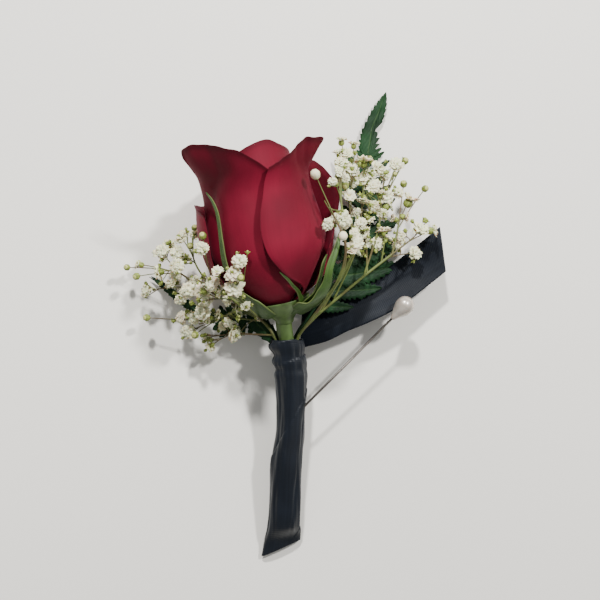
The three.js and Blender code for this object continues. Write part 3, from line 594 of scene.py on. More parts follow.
def heart_surface(s, t):
    """The closed heart: one long petal wound from the outside in."""
    wound = (s + 1) / 2
    radius = lerp(*HEART_RADII, wound)
    waist = lerp(0.42, 1, smooth(t, 0, 0.35)) * (1 - 0.25 * smooth(t, 0.7, 1) ** 2)
    wave = 0.05 * math.cos(3 * math.pi * wound * HEART_TURNS) + 0.08 * wound
    curl = 0.35 * smooth(t, 0.94, 1)
    return around_bud(math.tau * HEART_TURNS * wound, radius * waist + curl, HEART_HEIGHT * (1 - wave) * t)


# ---- calyx ----

# breadth, how far its face turns to the front, and its middle line as (azimuth, radius, level); the second
# and the fourth are lobes of the sepals before them
SEPALS = [
    (1, 0, [
        (-44, 5, -3.5), (-48, 7.7, -1.8), (-52, 10.2, 0.8), (-56, 12.2, 3.8), (-57, 14.4, 7.4),
        (-53, 16.6, 12), (-52, 17.9, 17), (-51, 18.2, 21.3), (-49, 18.2, 25.4), (-46, 17.9, 33.4),
        (-50, 17.8, 37.5), (-56, 18, 40.4),
    ]),
    (0.42, 0, [
        (34, 5, -3.5), (42, 8, -1.4), (42, 9.6, 0.6), (36, 10.9, 2.5), (27, 12.8, 5.1), (19, 14.4, 7.2),
        (13, 15.8, 9.6), (6, 17, 12.2),
    ]),
    (1.3, 30, [
        (48, 5, -3.6), (53, 9, -2.2), (53, 13.2, -0.9), (50, 17, 1.2), (49, 19.8, 4.5), (50, 22.2, 9),
        (57, 23.8, 14), (67, 25, 19.6),
    ]),
    (0.6, 20, [
        (52, 5, -3.4), (56, 9.2, -1), (55, 13, 1.4), (53, 16.2, 5), (54, 18.6, 9.6), (59, 20.2, 13.6),
    ]),
    (0.9, 0, [(156, 5, -3.5), (156, 7.7, -1.8), (156, 11.8, 0.3), (156, 15.2, 2.8), (156, 18.4, 7.2)]),
    (0.9, 0, [
        (-138, 5, -3.5), (-138, 7.7, -1.8), (-138, 11.2, 0.4), (-138, 15.2, 4.2), (-138, 19.2, 10.6),
    ]),
]
SEPAL_FACES = (8, 44)
SEPAL_HALF = profile([
    [0, 2.3], [0.1, 3.6], [0.2, 4.1], [0.32, 3.1], [0.45, 1.75], [0.7, 1.05], [0.92, 0.6], [1, 0.08],
])
HIP_OUTLINE = [
    (0, -7.5), (2.4, -7), (2.8, -6), (3.3, -5), (4.6, -3.7), (6.4, -2.4), (8.1, -0.8), (9.2, 0.7),
    (9.35, 1.2), (9, 1.25), (7.8, 0.1), (6, -0.62), (0, -0.62),
]
HIP_SIDES = 30
SEPAL_THICKNESS = 0.5
STEM_STEPS = 30
STEM_RADII = (2.6, 2)


def sepal_surface(breadth, twist, line):
    middle = Path([around_bud(math.radians(azimuth), radius, level) for azimuth, radius, level in line])
    seed = line[-1][0] * 0.37

    def surface(s, t):
        spot, heading = middle.point(t), middle.tangent(t)
        outward = Vector((spot.x, spot.y, 0)).normalized()
        sideways = heading.cross(outward).normalized()
        face = sideways.cross(heading)
        lobes = 0.16 * math.sin(21 * t + 2 * s + seed) * smooth(t, 0.3, 0.5) * (1 - smooth(t, 0.85, 1))
        half = SEPAL_HALF(t) * breadth * s * (1 + lobes)
        lean = math.radians(twist) * smooth(t, 0, 0.4)
        keel = 0.35 * (1 - s * s) * smooth(t, 0.1, 0.4) * (1 - t)
        out = half * math.sin(lean) - half * half * 0.03 - keel
        out += 0.3 * uneven(3 * t, 1.5 * s, seed)
        return spot + sideways * half * math.cos(lean) + face * out

    return surface


def hip_and_neck():
    """The swollen hip under the petals and the neck that runs from it into the wrap."""
    bm = turned(HIP_OUTLINE, HIP_SIDES)
    for vert in bm.verts:
        ridge = 1 + 0.035 * math.cos(5 * math.atan2(vert.co.y, vert.co.x))
        vert.co.x *= ridge
        vert.co.y *= ridge
    return bm


def stem_line():
    """The middle of the rose's stem, from inside the hip down through the wrap."""
    neck = [ROSE @ Vector((0, 0, -3)), (-1.2, 3.2, 15.2), (-0.7, 1, 14.6)]
    lower = [wrap_point(y, 0, up) for y, up in ((-4, 0), (-13, -0.4), (-27, -0.45), (-40, -0.2), (-58, 0))]
    return Path(neck + lower)


# ---- wrap and tail ----

# y, x of the middle, z of the middle, half width, half height
WRAP_AT = profile([
    [-70, -2.6, 1.1, 6.3, 1.1], [-66, -2.1, 2.1, 5.9, 1.95], [-62, -1.6, 4.2, 5.1, 3.5],
    [-53, -1.1, 5.9, 4.9, 3.9], [-40, -0.5, 8, 4.75, 4.15], [-30, 0.6, 9.6, 4.45, 4.25],
    [-13, 0.9, 12.3, 4.85, 4.5], [-6, 0.2, 13.4, 4.95, 4.7], [0, -0.5, 14.3, 5.35, 4.95],
])
WRAP_FOOT = -70
WRAP_FACES = (120, 170)
WRAP_CUT = 0.45
# the gathers round its mouth: the depth of the first, their pitch, their height, and where they fade out
GATHER_TOP = 2.4
GATHER_PITCH = 4.9
GATHER_DEPTH = 0.55
GATHER_ENDS = (9, 14)
RIBBON_WIDTH = 12.7
# how many turns the ribbon has made by each y on its way down, close at the mouth and steep below
WRAP_TURNS = profile([[-70, 2.95], [-50, 2.45], [-30, 2.05], [-17, 1.75], [-9, 1.25], [-4, 0.6], [0, 0]])
TAIL_FACES = (28, 110)
TAIL_CUT = 0.6
TAIL_TILT = (math.radians(14), math.radians(4))
TAIL_LINE = Path([
    (4.2, 3.4, 8.7), (11, 5.4, 9.6), (16.6, 8.2, 9.6), (24.5, 11.5, 9.6), (33, 15.9, 9.5), (42, 22.6, 9.2),
    (50.7, 29.5, 8.8),
])


def to_left(forward):
    """The level direction to the left of a heading."""
    return Vector((-forward.y, forward.x, 0)).normalized()


def wrap_point(y, across, up):
    """A place inside the wrap, given by y and by how far it lies from the middle."""
    return Vector((WRAP_AT(y, 1) + across, y, WRAP_AT(y, 2) + up))


def wrap_surface(lap, crease):
    """The wound ribbon. Each turn lies over the one before it, so the surface steps in at its edge."""

    def surface(s, t):
        y = WRAP_FOOT * (1 - t)
        east, north = math.sin(math.pi * s), math.cos(math.pi * s)
        turn = (s / 2 + WRAP_TURNS(y)) % 1
        folds = uneven(2.1 * north, 2.1 * east, y / 16)
        folds += 0.6 * uneven(4.2 * north, 4.2 * east, y / 9 + 7)
        step = lap * (1 - turn) ** 0.7 - lap + crease * folds * smooth(t, 0, 0.12)
        gathers = math.cos(math.tau * (y + GATHER_TOP) / GATHER_PITCH) * (1 - smooth(-y, *GATHER_ENDS))
        step += GATHER_DEPTH * max(0.25, -east) * gathers
        across = (WRAP_AT(y, 3) + step) * east
        up = (WRAP_AT(y, 4) + step * 0.7 * smooth(t, 0, 0.1)) * north
        rim = 0.5 * uneven(1.3 * north, 1.3 * east, 2) * smooth(t, 0.96, 1)
        slant = WRAP_CUT * across * smooth(-y, 60, 70)
        return Vector((WRAP_AT(y, 1) + across, y + slant + rim, WRAP_AT(y, 2) + up))

    return surface


def tail_surface(wave):
    """The loose end of the ribbon, gathered where it leaves the wrap and cut on a slant."""

    def surface(s, t):
        offset = s * RIBBON_WIDTH / 2
        slant = TAIL_CUT * offset * smooth(t, 0.6, 1) + 0.35 * offset * (1 - smooth(t, 0, 0.35))
        spot, forward = TAIL_LINE.at(t)
        sideways = to_left(forward)
        tilt = lerp(*TAIL_TILT, t)
        gathered = 1 - smooth(t, 0, 0.45)
        lift = wave * (0.6 * math.sin(6.5 * t + 1.2 * s) + 0.9 * gathered * math.cos(3.4 * s + 0.6))
        lift += 0.4 * wave * uneven(1.5 * s, 5 * t, 4)
        place = spot + forward * slant + sideways * offset * math.cos(tilt)
        return place + Vector((0, 0, lift - offset * math.sin(tilt)))

    return surface


# ---- pin ----

PIN_TIP = Vector((-0.15, -27.15, 12.75))
PEARL_CENTRE = Vector((36.9, 10.2, 14.4))
PIN_RADIUS = 0.4
PIN_SIDES = 20
PEARL_SIDES = 40
PEARL_OUTLINE = [
    (0, -4.95), (0.62, -4.95), (0.84, -4.7), (0.98, -4.2), (1.3, -3.4), (1.85, -2.4), (2.5, -1.25),
    (2.92, -0.2), (3.1, 0.9), (3, 1.9), (2.62, 2.85), (1.95, 3.6), (1.1, 4.1), (0.4, 4.28), (0, 4.3),
]


def along_pin(run):
    """The matrix that stands +Z along the pin, a run of millimetres from its tip."""
    direction = PEARL_CENTRE - PIN_TIP
    turn = direction.to_track_quat("Z", "Y").to_matrix().to_4x4()
    return Matrix.Translation(PIN_TIP + direction.normalized() * run) @ turn


# ---- fern ----

# rib line; then for each pinna its place along the rib, its left and right lengths and its half breadth
RIGHT_RIB = [
    (6.4, 7, 12.9), (11.8, 15, 13.4), (18.6, 27, 11.2), (23.4, 41, 7), (25, 54, 3.9), (27.2, 64.5, 2.2),
    (30, 74, 1.4), (32.5, 81.6, 0.9),
]
RIGHT_PINNAE = [
    (0.06, 4, 12, 2.6), (0.13, 5, 18, 3.8), (0.2, 5, 21, 4.8), (0.28, 5, 20, 4.8), (0.36, 6, 17, 3.8),
    (0.44, 8, 15, 2.8), (0.51, 13, 13, 2.3), (0.57, 14.5, 11.5, 2.1), (0.63, 10, 11.5, 1.9),
    (0.69, 6, 8, 1.5), (0.72, 4, 6.2, 1.3),
]
# the blades at the fronds' ends: the line down the middle; then by share of it, the breadth to the left
# and to the right, and how deep the teeth are cut on each side, as a share of that breadth
RIGHT_BLADE = [
    (25.6, 57.5, 2.9), (26.6, 62.5, 2.6), (27.3, 66.5, 2), (28, 70.5, 1.6), (29.8, 75, 1.3),
    (32.6, 82.3, 0.9),
]
RIGHT_BREADTHS = profile([
    [0, 2.6, 2.6, 0.2, 0.4], [0.2, 3.7, 3.4, 0.2, 0.5], [0.36, 3.6, 3.1, 0.2, 0.45],
    [0.46, 3, 1.4, 0.2, 0.2], [0.54, 2.8, 2.5, 0.22, 0.15], [0.68, 2.5, 2.5, 0.25, 0.2],
    [0.82, 1.7, 1.8, 0.3, 0.2], [0.94, 0.7, 0.8, 0.3, 0.2], [1, 0.05, 0.05, 0, 0],
])
LEFT_RIB = [(-8.5, 6.4, 12), (-18, 5.6, 9), (-27, 8, 6), (-36, 13, 3.4), (-46.5, 20.5, 1)]
LEFT_PINNAE = [
    (0.06, 5, 6, 1.9), (0.14, 7, 8, 2.1), (0.22, 7, 8, 2.2), (0.3, 5, 5.5, 2), (0.38, 3.4, 3.6, 1.6),
]
LEFT_BLADE = [(-26, 7.6, 6.3), (-31, 10, 5.2), (-36, 13, 3.8), (-41, 17, 2.6), (-45.8, 20.6, 1.6)]
LEFT_BREADTHS = profile([
    [0, 1.8, 1.8, 0.3, 0.3], [0.4, 1.7, 1.7, 0.3, 0.3], [0.8, 1.1, 1.2, 0.3, 0.3], [1, 0.1, 0.1, 0, 0],
])
BLADE_TOOTH = 2.2  # length of a tooth of a blade
PINNA_TOOTH = 1.6  # and of a leaflet
# a broad leaf beside the neck of the rose, on the left
NECK_LEAF = [(-2.6, -1.4, 13.4), (-6.2, 1.5, 13.2), (-9.6, 4.6, 12.6), (-13.4, 9.2, 12)]
NECK_BREADTHS = profile([
    [0, 1.4, 1.6, 0.1, 0.1], [0.3, 2.6, 3.4, 0.2, 0.2], [0.65, 2.6, 3.2, 0.25, 0.25], [1, 0.1, 0.1, 0, 0],
])
PINNA_HALF = profile([[0, 0.45], [0.12, 0.85], [0.3, 1], [0.6, 0.84], [0.85, 0.46], [1, 0.03]])
# stalk: y and the distance from the wrap's middle, for the part of the rib inside the wrap
FRONDS = [
    {
        "name": "frond_right",
        "solid": "fern_right",
        "stalk": [(-13, 2.1), (-6, 2.1), (0, 2.3)],
        "rib": RIGHT_RIB,
        "pinnae": RIGHT_PINNAE,
        "droop": 0.012,
        "blades": [(RIGHT_BLADE, RIGHT_BREADTHS)],
    },
    {
        "name": "frond_left",
        "solid": "fern_left",
        "stalk": [(-12, -2.1), (-6, -2.1), (0, -2.4)],
        "rib": LEFT_RIB,
        "pinnae": LEFT_PINNAE,
        "droop": 0.01,
        "blades": [(LEFT_BLADE, LEFT_BREADTHS), (NECK_LEAF, NECK_BREADTHS)],
    },
]
STALK_UP = -2.2
STALK_STEPS = 6
RIB_STEPS = 28
RIB_RADII = (0.5, 0.12)


def pinna_surface(rib, run, side, size, half, droop, teeth):
    """One leaflet: toothed forwards, creased along its middle and drooping away from the rib."""
    angle = math.radians(lerp(62, 30, run))
    seed = run * 31 + side

    def surface(s, t):
        tooth = (t * teeth) % 1 if t < 1 else 1
        breadth = half * PINNA_HALF(t) * (0.62 + 0.38 * tooth) * s
        along = size * (t + 0.35 / teeth * abs(s) * tooth * (1 - t))
        ahead = along * math.cos(angle) - side * breadth * math.sin(angle)
        aside = side * along * math.sin(angle) + breadth * math.cos(angle)
        spot, forward = rib.at(clamp(run + ahead / rib.length))
        beyond = run * rib.length + ahead - clamp(run + ahead / rib.length) * rib.length
        sideways = to_left(forward)
        height = 0.16 * half * abs(s) - droop * aside * aside + 0.3 * uneven(seed, 3 * t, s)
        return spot + sideways * aside + forward * beyond + Vector((0, 0, height))

    return surface


def blade_surface(line, breadths):
    """A frond's end, where the leaflets have grown into one leaf with forward teeth along both edges."""

    def surface(s, t):
        spot, forward = line.at(t)
        aside = to_left(forward) * (-1 if s > 0 else 1)
        breadth, cut = (breadths(t, 2), breadths(t, 4)) if s > 0 else (breadths(t, 1), breadths(t, 3))
        tooth = (t * line.length / BLADE_TOOTH) % 1
        reach = abs(s) * breadth * (1 - cut * (1 - tooth))
        wrinkle = 0.25 * uneven(4 * s, 9 * t, 0)
        return spot + aside * reach + forward * 0.5 * reach + Vector((0, 0, wrinkle - 0.06 * reach * reach))

    return surface


def build_frond(frond, finish, thickness):
    """The leaflets and blades of one frond as one piece, and its rib and stalk as another."""
    name, rib = frond["name"], Path(frond["rib"])
    bm = bmesh.new()
    for run, left, right, half in frond["pinnae"]:
        for side, size in ((1, left), (-1, right)):
            teeth = max(2, round(size / PINNA_TOOTH))
            surface = pinna_surface(rib, run, side, size, half, frond["droop"], teeth)
            surface_mesh(bm, 4, 3 * teeth, surface)
    for line, breadths in frond["blades"]:
        end = Path(line)
        surface_mesh(bm, 8, 5 * round(end.length / BLADE_TOOTH), blade_surface(end, breadths))
    thicken(add_modelled(name, bm, finish, [frond["solid"]]), thickness)

    spots = [rib.at(i / RIB_STEPS)[0] + Vector((0, 0, 0.12)) for i in range(RIB_STEPS + 1)]
    radii = [lerp(*RIB_RADII, i / RIB_STEPS) for i in range(RIB_STEPS + 1)]
    stalk = Path([*(wrap_point(y, across, STALK_UP) for y, across in frond["stalk"]), spots[0]])
    foot = [stalk.point(i / STALK_STEPS) for i in range(STALK_STEPS)]
    mesh = stem_mesh(name + "_rib", [(foot + spots, [RIB_RADII[0]] * STALK_STEPS + radii)])
    add_piece(name + "_rib", mesh, finish)


# ---- baby's breath ----

# runs: the trunk past the wrap. floor: how low anything hangs at each x. limbs: where each leaves the
# trunk, the points on its way, its tip, its radius, then its heads as x, y, z, kind and radius.
LEFT_SPRAY = {
    "name": "spray_left",
    "solid": "gypsophila_left",
    "seed": 11,
    "floor": [[-56, 0], [-46, 1.4], [-36, 4], [-27, 6.6], [-18, 9.6], [-8.5, 12.4]],
    "trunk": [(-12, -3.05, 0), (-5, -3.1, 0), (0.5, -3.7, 0)],
    "runs": [(-8.2, 6, 14.6), (-15, 9.6, 15.6), (-24, 15, 15.5), (-33, 20, 13)],
    "limbs": [
        (0.8, [(-29, 23, 17)], (-31, 28, 17), 0.34, [
            (-30, 36, 17, "bud", 1.15), (-31, 30, 21, "bud", 1.25), (-30.5, 34, 15, "open", 1.9),
            (-34.5, 33, 14, "open", 2.5), (-39, 30.5, 11, "open", 2.3),
        ]),
        (0.66, [(-22, 20, 26)], (-25, 25, 32), 0.3, [
            (-26, 32.5, 34, "bud", 1.3), (-26, 28.5, 35, "open", 2.4),
        ]),
        (0.97, [], (-36.5, 22.5, 13.5), 0.34, [
            (-41, 28.5, 13, "open", 2.9), (-35.5, 28, 17, "open", 2.7), (-35.5, 23.5, 19, "open", 2.5),
            (-36, 21, 16, "side", 2.1), (-33, 26.5, 13, "side", 2), (-53, 23.5, 8, "bud", 1.2),
            (-49, 24.5, 9, "half", 1.6), (-49.5, 20.5, 11, "bud", 1.3), (-42, 21.5, 14, "side", 2.9),
        ]),
        (0.9, [], (-37, 17, 10.5), 0.34, [
            (-46.5, 16, 8, "open", 2.3), (-38.5, 18, 9, "open", 2.1), (-32, 15.5, 20, "open", 2.7),
            (-35, 13, 12, "open", 2.2),
        ]),
        (0.52, [(-15, 12, 24)], (-20, 15.5, 28), 0.34, [
            (-21.5, 21.5, 36, "half", 1.9), (-23, 18, 31.5, "open", 2.6), (-27, 15.5, 23, "side", 2.8),
            (-25.5, 13, 22, "open", 2.5), (-29.5, 18.5, 17, "open", 2.2),
        ]),
        (0.44, [(-12, 10, 26)], (-16, 14, 32), 0.34, [
            (-14.5, 24.5, 39.5, "open", 2.9), (-16.5, 20.5, 38.5, "open", 2.6), (-14, 19.5, 40, "bud", 1.3),
            (-16, 16.5, 36.5, "open", 3.1), (-20.5, 15.5, 30.5, "side", 2.2), (-19, 13, 24, "open", 2.2),
        ]),
        (0.5, [], (-21.5, 7.5, 15), 0.34, [
            (-16, 9.5, 18, "side", 2.6), (-13, 11, 28.5, "open", 1.8), (-19, 5.5, 15, "open", 2.1),
            (-27.5, 9, 19, "open", 2.8), (-30.5, 7, 15, "open", 2.4), (-25.5, 7, 17, "side", 2.3),
            (-22.5, 8, 16, "side", 2.1),
        ]),
        (0.62, [], (-29, 5, 11.5), 0.34, [
            (-35, 7, 10, "open", 2.3), (-32.5, 2.5, 12, "open", 2.6), (-30, 1.5, 15, "bud", 1.4),
            (-46.5, 7, 8, "bud", 1.3),
        ]),
        (0.36, [], (-20, 2, 11.5), 0.34, [
            (-17.5, 1.5, 13, "side", 3), (-21, 4.5, 11, "open", 1.9), (-25.5, -2.5, 7, "side", 2.2),
            (-26.5, 0.5, 8, "open", 1.6), (-9.5, 7.5, 17, "half", 1.5),
        ]),
    ],
}
RIGHT_SPRAY = {
    "name": "spray_right",
    "solid": "gypsophila_right",
    "seed": 29,
    "floor": [[0, 14], [24, 11.6], [34, 11.6], [52, 10.6]],
    "trunk": [(-12, 3.05, 0), (-5, 3.1, 0), (0.5, 3.6, 0)],
    "runs": [(8.4, 7, 16), (15.6, 13.2, 17.6), (25, 21, 18), (33.4, 27.5, 17)],
    "limbs": [
        (0.36, [(13, 22, 27), (14.2, 36, 31)], (14, 47, 31), 0.5, [
            (15, 55.5, 30, "open", 1.8), (15, 52.5, 31, "open", 1.9), (13.5, 49, 34.5, "open", 1.8),
        ]),
        (0.36, [(12.4, 22, 28), (13, 32, 33)], (9.6, 43, 34), 0.26, [
            (8.5, 51, 37, "white", 1.75), (17, 37.5, 33.5, "open", 2.8), (14.5, 38, 34, "open", 1.9),
            (12.5, 36, 35, "open", 2.2), (13.5, 32, 34, "white", 1.6),
        ]),
        (0.52, [(17, 26, 22), (18, 40, 23)], (18.5, 49, 23), 0.36, [
            (17, 63.5, 22, "half", 1.7), (21, 62.5, 20, "half", 1.5), (16, 59.5, 22, "half", 1.7),
            (18.5, 59, 23, "open", 2.4), (17.5, 55.5, 24, "open", 2.3), (20.5, 54, 23, "open", 2.5),
            (17, 51, 25, "open", 2.1), (18, 48.5, 26, "bud", 1.3), (21, 50, 22, "open", 2),
            (19, 45.5, 26, "half", 2.2), (21.5, 40.5, 22, "open", 1.9),
        ]),
        (0.64, [(22, 30, 20), (23.5, 42, 20)], (24, 49, 20), 0.36, [
            (24, 57, 21, "side", 3.3), (23.5, 51.5, 20, "open", 2.2), (26, 53, 19, "open", 2),
            (27, 49, 19, "open", 3.1), (24, 44.5, 22, "side", 2), (27, 42.5, 20, "open", 2.2),
            (26, 38.5, 20, "side", 2.1), (29, 55, 17, "open", 2.6),
        ]),
        (0.82, [(29, 36, 18)], (30, 45, 17), 0.36, [
            (31.5, 46, 17, "open", 2.6), (29.5, 47, 18, "side", 2.2), (31, 53, 15, "open", 2.2),
            (35, 56.5, 14, "open", 2.6), (38, 58, 12, "bud", 1.25), (34.5, 53.5, 14, "bud", 1),
            (30, 40.5, 18, "open", 2), (35.5, 47.5, 14, "open", 1.8), (32.5, 43, 17, "half", 1.9),
        ]),
        (1, [(35, 34, 16)], (36, 39.5, 14.5), 0.36, [
            (37.5, 50.5, 11, "bud", 1.3), (44.5, 49, 9, "bud", 1.25), (39.5, 45.5, 12, "half", 2.6),
            (38, 39.5, 14, "half", 1.8), (34, 39, 15, "half", 1.5),
        ]),
        (0.84, [], (25.2, 29.5, 18), 0.36, [
            (24, 34, 20, "open", 2.7), (25, 31, 18, "open", 2), (23, 37, 22, "open", 2.2),
            (28.5, 31, 17, "open", 2.8), (23, 28.5, 17, "side", 2),
        ]),
        (0.56, [], (19.5, 25, 25), 0.3, [
            (20.5, 30, 28.5, "open", 2.6), (19, 27.5, 29, "side", 1.9), (20, 33.5, 26.5, "open", 1.8),
        ]),
        (0.93, [], (31, 32, 18), 0.3, [(30.5, 35, 18, "side", 2.4), (31.5, 32.5, 17, "side", 2)]),
        (1, [(38, 31, 16)], (40.5, 33, 15.5), 0.3, [
            (43, 35.5, 15, "open", 3), (47, 35.5, 14, "half", 2), (36.5, 33, 15, "open", 2.1),
        ]),
        (0.97, [], (37, 27.6, 15.5), 0.22, [(41, 28, 14, "open", 2.6), (35, 30.5, 14, "open", 1.8)]),
    ],
}


# what stands out from the bud's outline, the guard petals, the flared rims and the sepals: how far, the
# azimuth of its middle and half its breadth in degrees, and the levels between which it comes to an end
STANDING_OUT = [(8.4, 115, 75, 42, 47), (2.6, -135, 75, 38, 42), (3, -52, 24, 38, 41), (8.6, 57, 22, 20, 23)]


def outstanding(azimuth, level):
    """How far a spray has to keep off the bud's outline at an azimuth and a level."""
    reach = 3 * smooth(level, 40, 50)
    for far, middle, half, low, high in STANDING_OUT:
        aside = abs(azimuth - math.radians(middle))
        within = 1 - smooth(aside, math.radians(half * 0.6), math.radians(half))
        reach = max(reach, far * within * (1 - smooth(level, low, high)))
    return reach


def clear_of_rose(place, room):
    """The place itself, or moved straight out from the bud until it clears petals and sepals by room."""
    local = ROSE_BACK @ Vector(place)
    radius = math.hypot(local.x, local.y)
    level = clamp(local.z, 0, 56)
    need = BUD_OUTLINE(level) + outstanding(math.atan2(local.x, -local.y), level) + room
    if local.z > 60 or local.z < -2 or radius >= need:
        return Vector(place)
    return ROSE @ Vector((local.x * need / radius, local.y * need / radius, local.z))


SPENT_HEADS = 3  # beside each open floret
# each kind of stem: its radius at either end and the steps along it
TRUNK = (0.6, 0.42, 40)
STALK = (0.19, 0.14, 8)
TWIG = (0.16, 0.13, 5)
LIMB_STEPS = 18
LIMB_TAPER = 0.65
# how each kind of head stands: how much its axis follows its stalk, and how much it turns up
HEAD_STANDS = {
    "open": (0.55, 0.9),
    "side": (1, -0.35),
    "half": (1, 0.15),
    "bud": (0.5, 0.8),
    "white": (0.5, 0.6),
}


def lay_out_spray(spray):
    """Stems as (path, radius at each end, steps) and heads as (place, facing, kind, radius)."""
    draw = draws(spray["seed"])
    floor = profile(spray["floor"])
    trunk = Path([*(wrap_point(*p) for p in spray["trunk"]), *spray["runs"]])
    stems = [(trunk, *TRUNK)]
    heads = []
    for start_at, via, tip, thickness, rows in spray["limbs"]:
        tip, *via = (clear_of_rose(p, 1.2) for p in (tip, *via))
        tip.z = max(tip.z, floor(tip.x) + 1)
        limb = Path([trunk.point(start_at), *via, tip])
        heading = limb.tangent(1)
        stems.append((limb, thickness, thickness * LIMB_TAPER, LIMB_STEPS))
        for x, y, z, kind, radius in rows:
            place = clear_of_rose((x, y, z), radius)
            place.z = max(place.z, floor(x) + radius * 0.7)
            start = limb.point(0.62 + 0.36 * draw())
            bend = clear_of_rose(start.lerp(place, 0.5) + heading * 0.8, 0.6)
            stalk = Path([start, bend, place])
            stems.append((stalk, *STALK))
            along, up = HEAD_STANDS[kind]
            sway = Vector((draw() - 0.5, draw() - 0.5, 0.5 * draw())) * 0.6
            facing = (stalk.tangent(1) * along + Vector((0, 0, up)) + sway).normalized()
            heads.append((place, facing, kind, radius))
            if kind in ("open", "side"):
                for _ in range(SPENT_HEADS):
                    add_spent_head(stems, heads, stalk, radius, floor, draw)
    return stems, heads


def add_spent_head(stems, heads, stalk, reach, floor, draw):
    """A short twig off a stalk, with a green calyx on it whose petals have gone or haven't opened."""
    start = stalk.point(0.3 + 0.5 * draw())
    way = Vector((2 * draw() - 1, 2 * draw() - 1, draw() - 0.3))
    place = clear_of_rose(stalk.point(1) + way * reach * 1.15 - Vector((0, 0, 0.4 * reach)), 0.9)
    place.z = max(place.z, floor(place.x) + 0.8)
    stems.append((Path([start, start.lerp(place, 0.5) + Vector((0, 0, 0.4)), place]), *TWIG))
    facing = (place - start + Vector((0, 0, 1.5))).normalized()
    heads.append((place, facing, "spent", 0.8 + 0.5 * draw()))


def standing(place, facing, twist):
    """The matrix that stands +Z along facing at a place, turned by twist about it."""
    turn = facing.to_track_quat("Z", "Y").to_matrix().to_4x4()
    return Matrix.Translation(place) @ turn @ Matrix.Rotation(twist, 4, "Z")


# whorls of a head: petals, reach, lift from flat, half breadth as a share of the reach, height of the foot
OPEN_WHORLS = [
    (8, 1.04, 0.16, 0.38, -0.3), (7, 0.86, 0.6, 0.4, -0.15), (5, 0.66, 1, 0.44, 0),
    (4, 0.44, 1.35, 0.5, 0.05),
]
HALF_WHORLS = [(6, 1.3, 1.1, 0.42, -1.1), (5, 1.1, 1.35, 0.4, -0.8)]
SEPAL_WHORL = [(5, 0.62, 0.8, 0.2, -0.3)]
CUP_WHORL = [(5, 0.95, 1.15, 0.3, -1)]
NOTCH = (0.76, 1, 0.84, 1, 0.76)  # reach of a petal's end, from one side to the other


def add_whorls(bm, whorls, place, facing, radius, draw, pointed=False):
    """Whorls of ruffled, notched petals, or of pointed green sepals, about the middle of a head."""
    stand = standing(place, facing, 6 * draw())
    for count, reach, lift, breadth, foot in whorls:
        phase = 6 * draw()
        for i in range(count):
            around_it = phase + math.tau * (i + 0.3 * draw()) / count
            length = radius * reach * (0.72 + 0.44 * draw())
            half, raised, ruffle = length * breadth, lift + 0.8 * (draw() - 0.5), 0.3 * (draw() - 0.5)
            spin = stand @ Matrix.Rotation(around_it, 4, "Z")

            def surface(s, t):
                end, swell = 1, math.sin(math.pi * (0.12 + 0.86 * t))
                if not pointed:
                    end, swell = NOTCH[round(2 * s + 2)], 0.24 + 0.76 * smooth(t, 0, 0.66)
                along = length * t * lerp(1, end, t * t)
                slope = raised * (1 - 0.5 * t)
                up = along * math.sin(slope) + length * (0.2 * s * s * t + ruffle * math.sin(5 * s) * t)
                return spin @ Vector((along * math.cos(slope), half * swell * s, foot * radius * 0.4 + up))

            surface_mesh(bm, 2 if pointed else 4, 3, surface)


def add_bead(bm, place, facing, radius, length):
    """One closed bud or calyx. Its map runs from 0 at its foot to 1 at its tip."""
    stand = standing(place, facing, 0)

    def surface(s, t):
        out = radius * math.sin(math.pi * t) ** 0.8
        up = -length * math.cos(math.pi * t)
        return stand @ Vector((out * math.cos(math.pi * s), out * math.sin(math.pi * s), up))

    bmesh.ops.remove_doubles(bm, verts=surface_mesh(bm, 8, 7, surface), dist=WELD)


def build_spray(spray, finishes, look):
    """The stems, petals, sepals, green buds and white buds of one spray, each kind as one piece."""
    stems, heads = lay_out_spray(spray)
    name = spray["name"]
    draw = draws(spray["seed"] + 1)
    petals, beads, leaves, whites = (bmesh.new() for _ in range(4))
    for place, facing, kind, radius in heads:
        if kind == "bud":
            add_bead(beads, place, facing, radius * 0.94, radius)
        elif kind == "spent":
            add_bead(beads, place, facing, radius * 0.5, radius * 0.75)
            add_whorls(leaves, CUP_WHORL, place, facing, radius, draw, True)
        elif kind == "half":
            add_whorls(petals, HALF_WHORLS, place, facing, radius * look.floret_scale, draw)
            add_bead(beads, place - facing * 0.55 * radius, facing, 0.6 * radius, 0.62 * radius)
            add_whorls(leaves, CUP_WHORL, place, facing, radius, draw, True)
        elif kind == "white":
            add_bead(whites, place, facing, radius * 0.9, radius * 1.05)
            add_whorls(leaves, SEPAL_WHORL, place - facing * radius * 0.8, facing, radius * 0.9, draw, True)
        else:
            add_whorls(petals, OPEN_WHORLS, place, facing, radius * look.floret_scale, draw)
            add_bead(beads, place - facing * 0.9, facing, 0.34 * radius, 0.42 * radius)
            add_whorls(leaves, SEPAL_WHORL, place - facing * radius * 0.34, facing, radius, draw, True)
    lines = []
    for path, start, end, steps in stems:
        points = [path.point(i / steps) for i in range(steps + 1)]
        lines.append((points, [lerp(start, end, i / steps) for i in range(steps + 1)]))
    mesh = stem_mesh(name + "_stems", lines)
    add_piece(name + "_stems", mesh, finishes["sprig"], [spray["solid"]])
    florets = add_modelled(name + "_florets", petals, finishes["floret"])
    thicken(florets, look.floret_petal)
    sepals = add_modelled(name + "_sepals", leaves, finishes["star"])
    thicken(sepals, look.floret_petal)
    add_modelled(name + "_buds", beads, finishes["bud"])
    if whites.verts:
        add_modelled(name + "_pearls", whites, finishes["floret"])


# ---- finishes ----


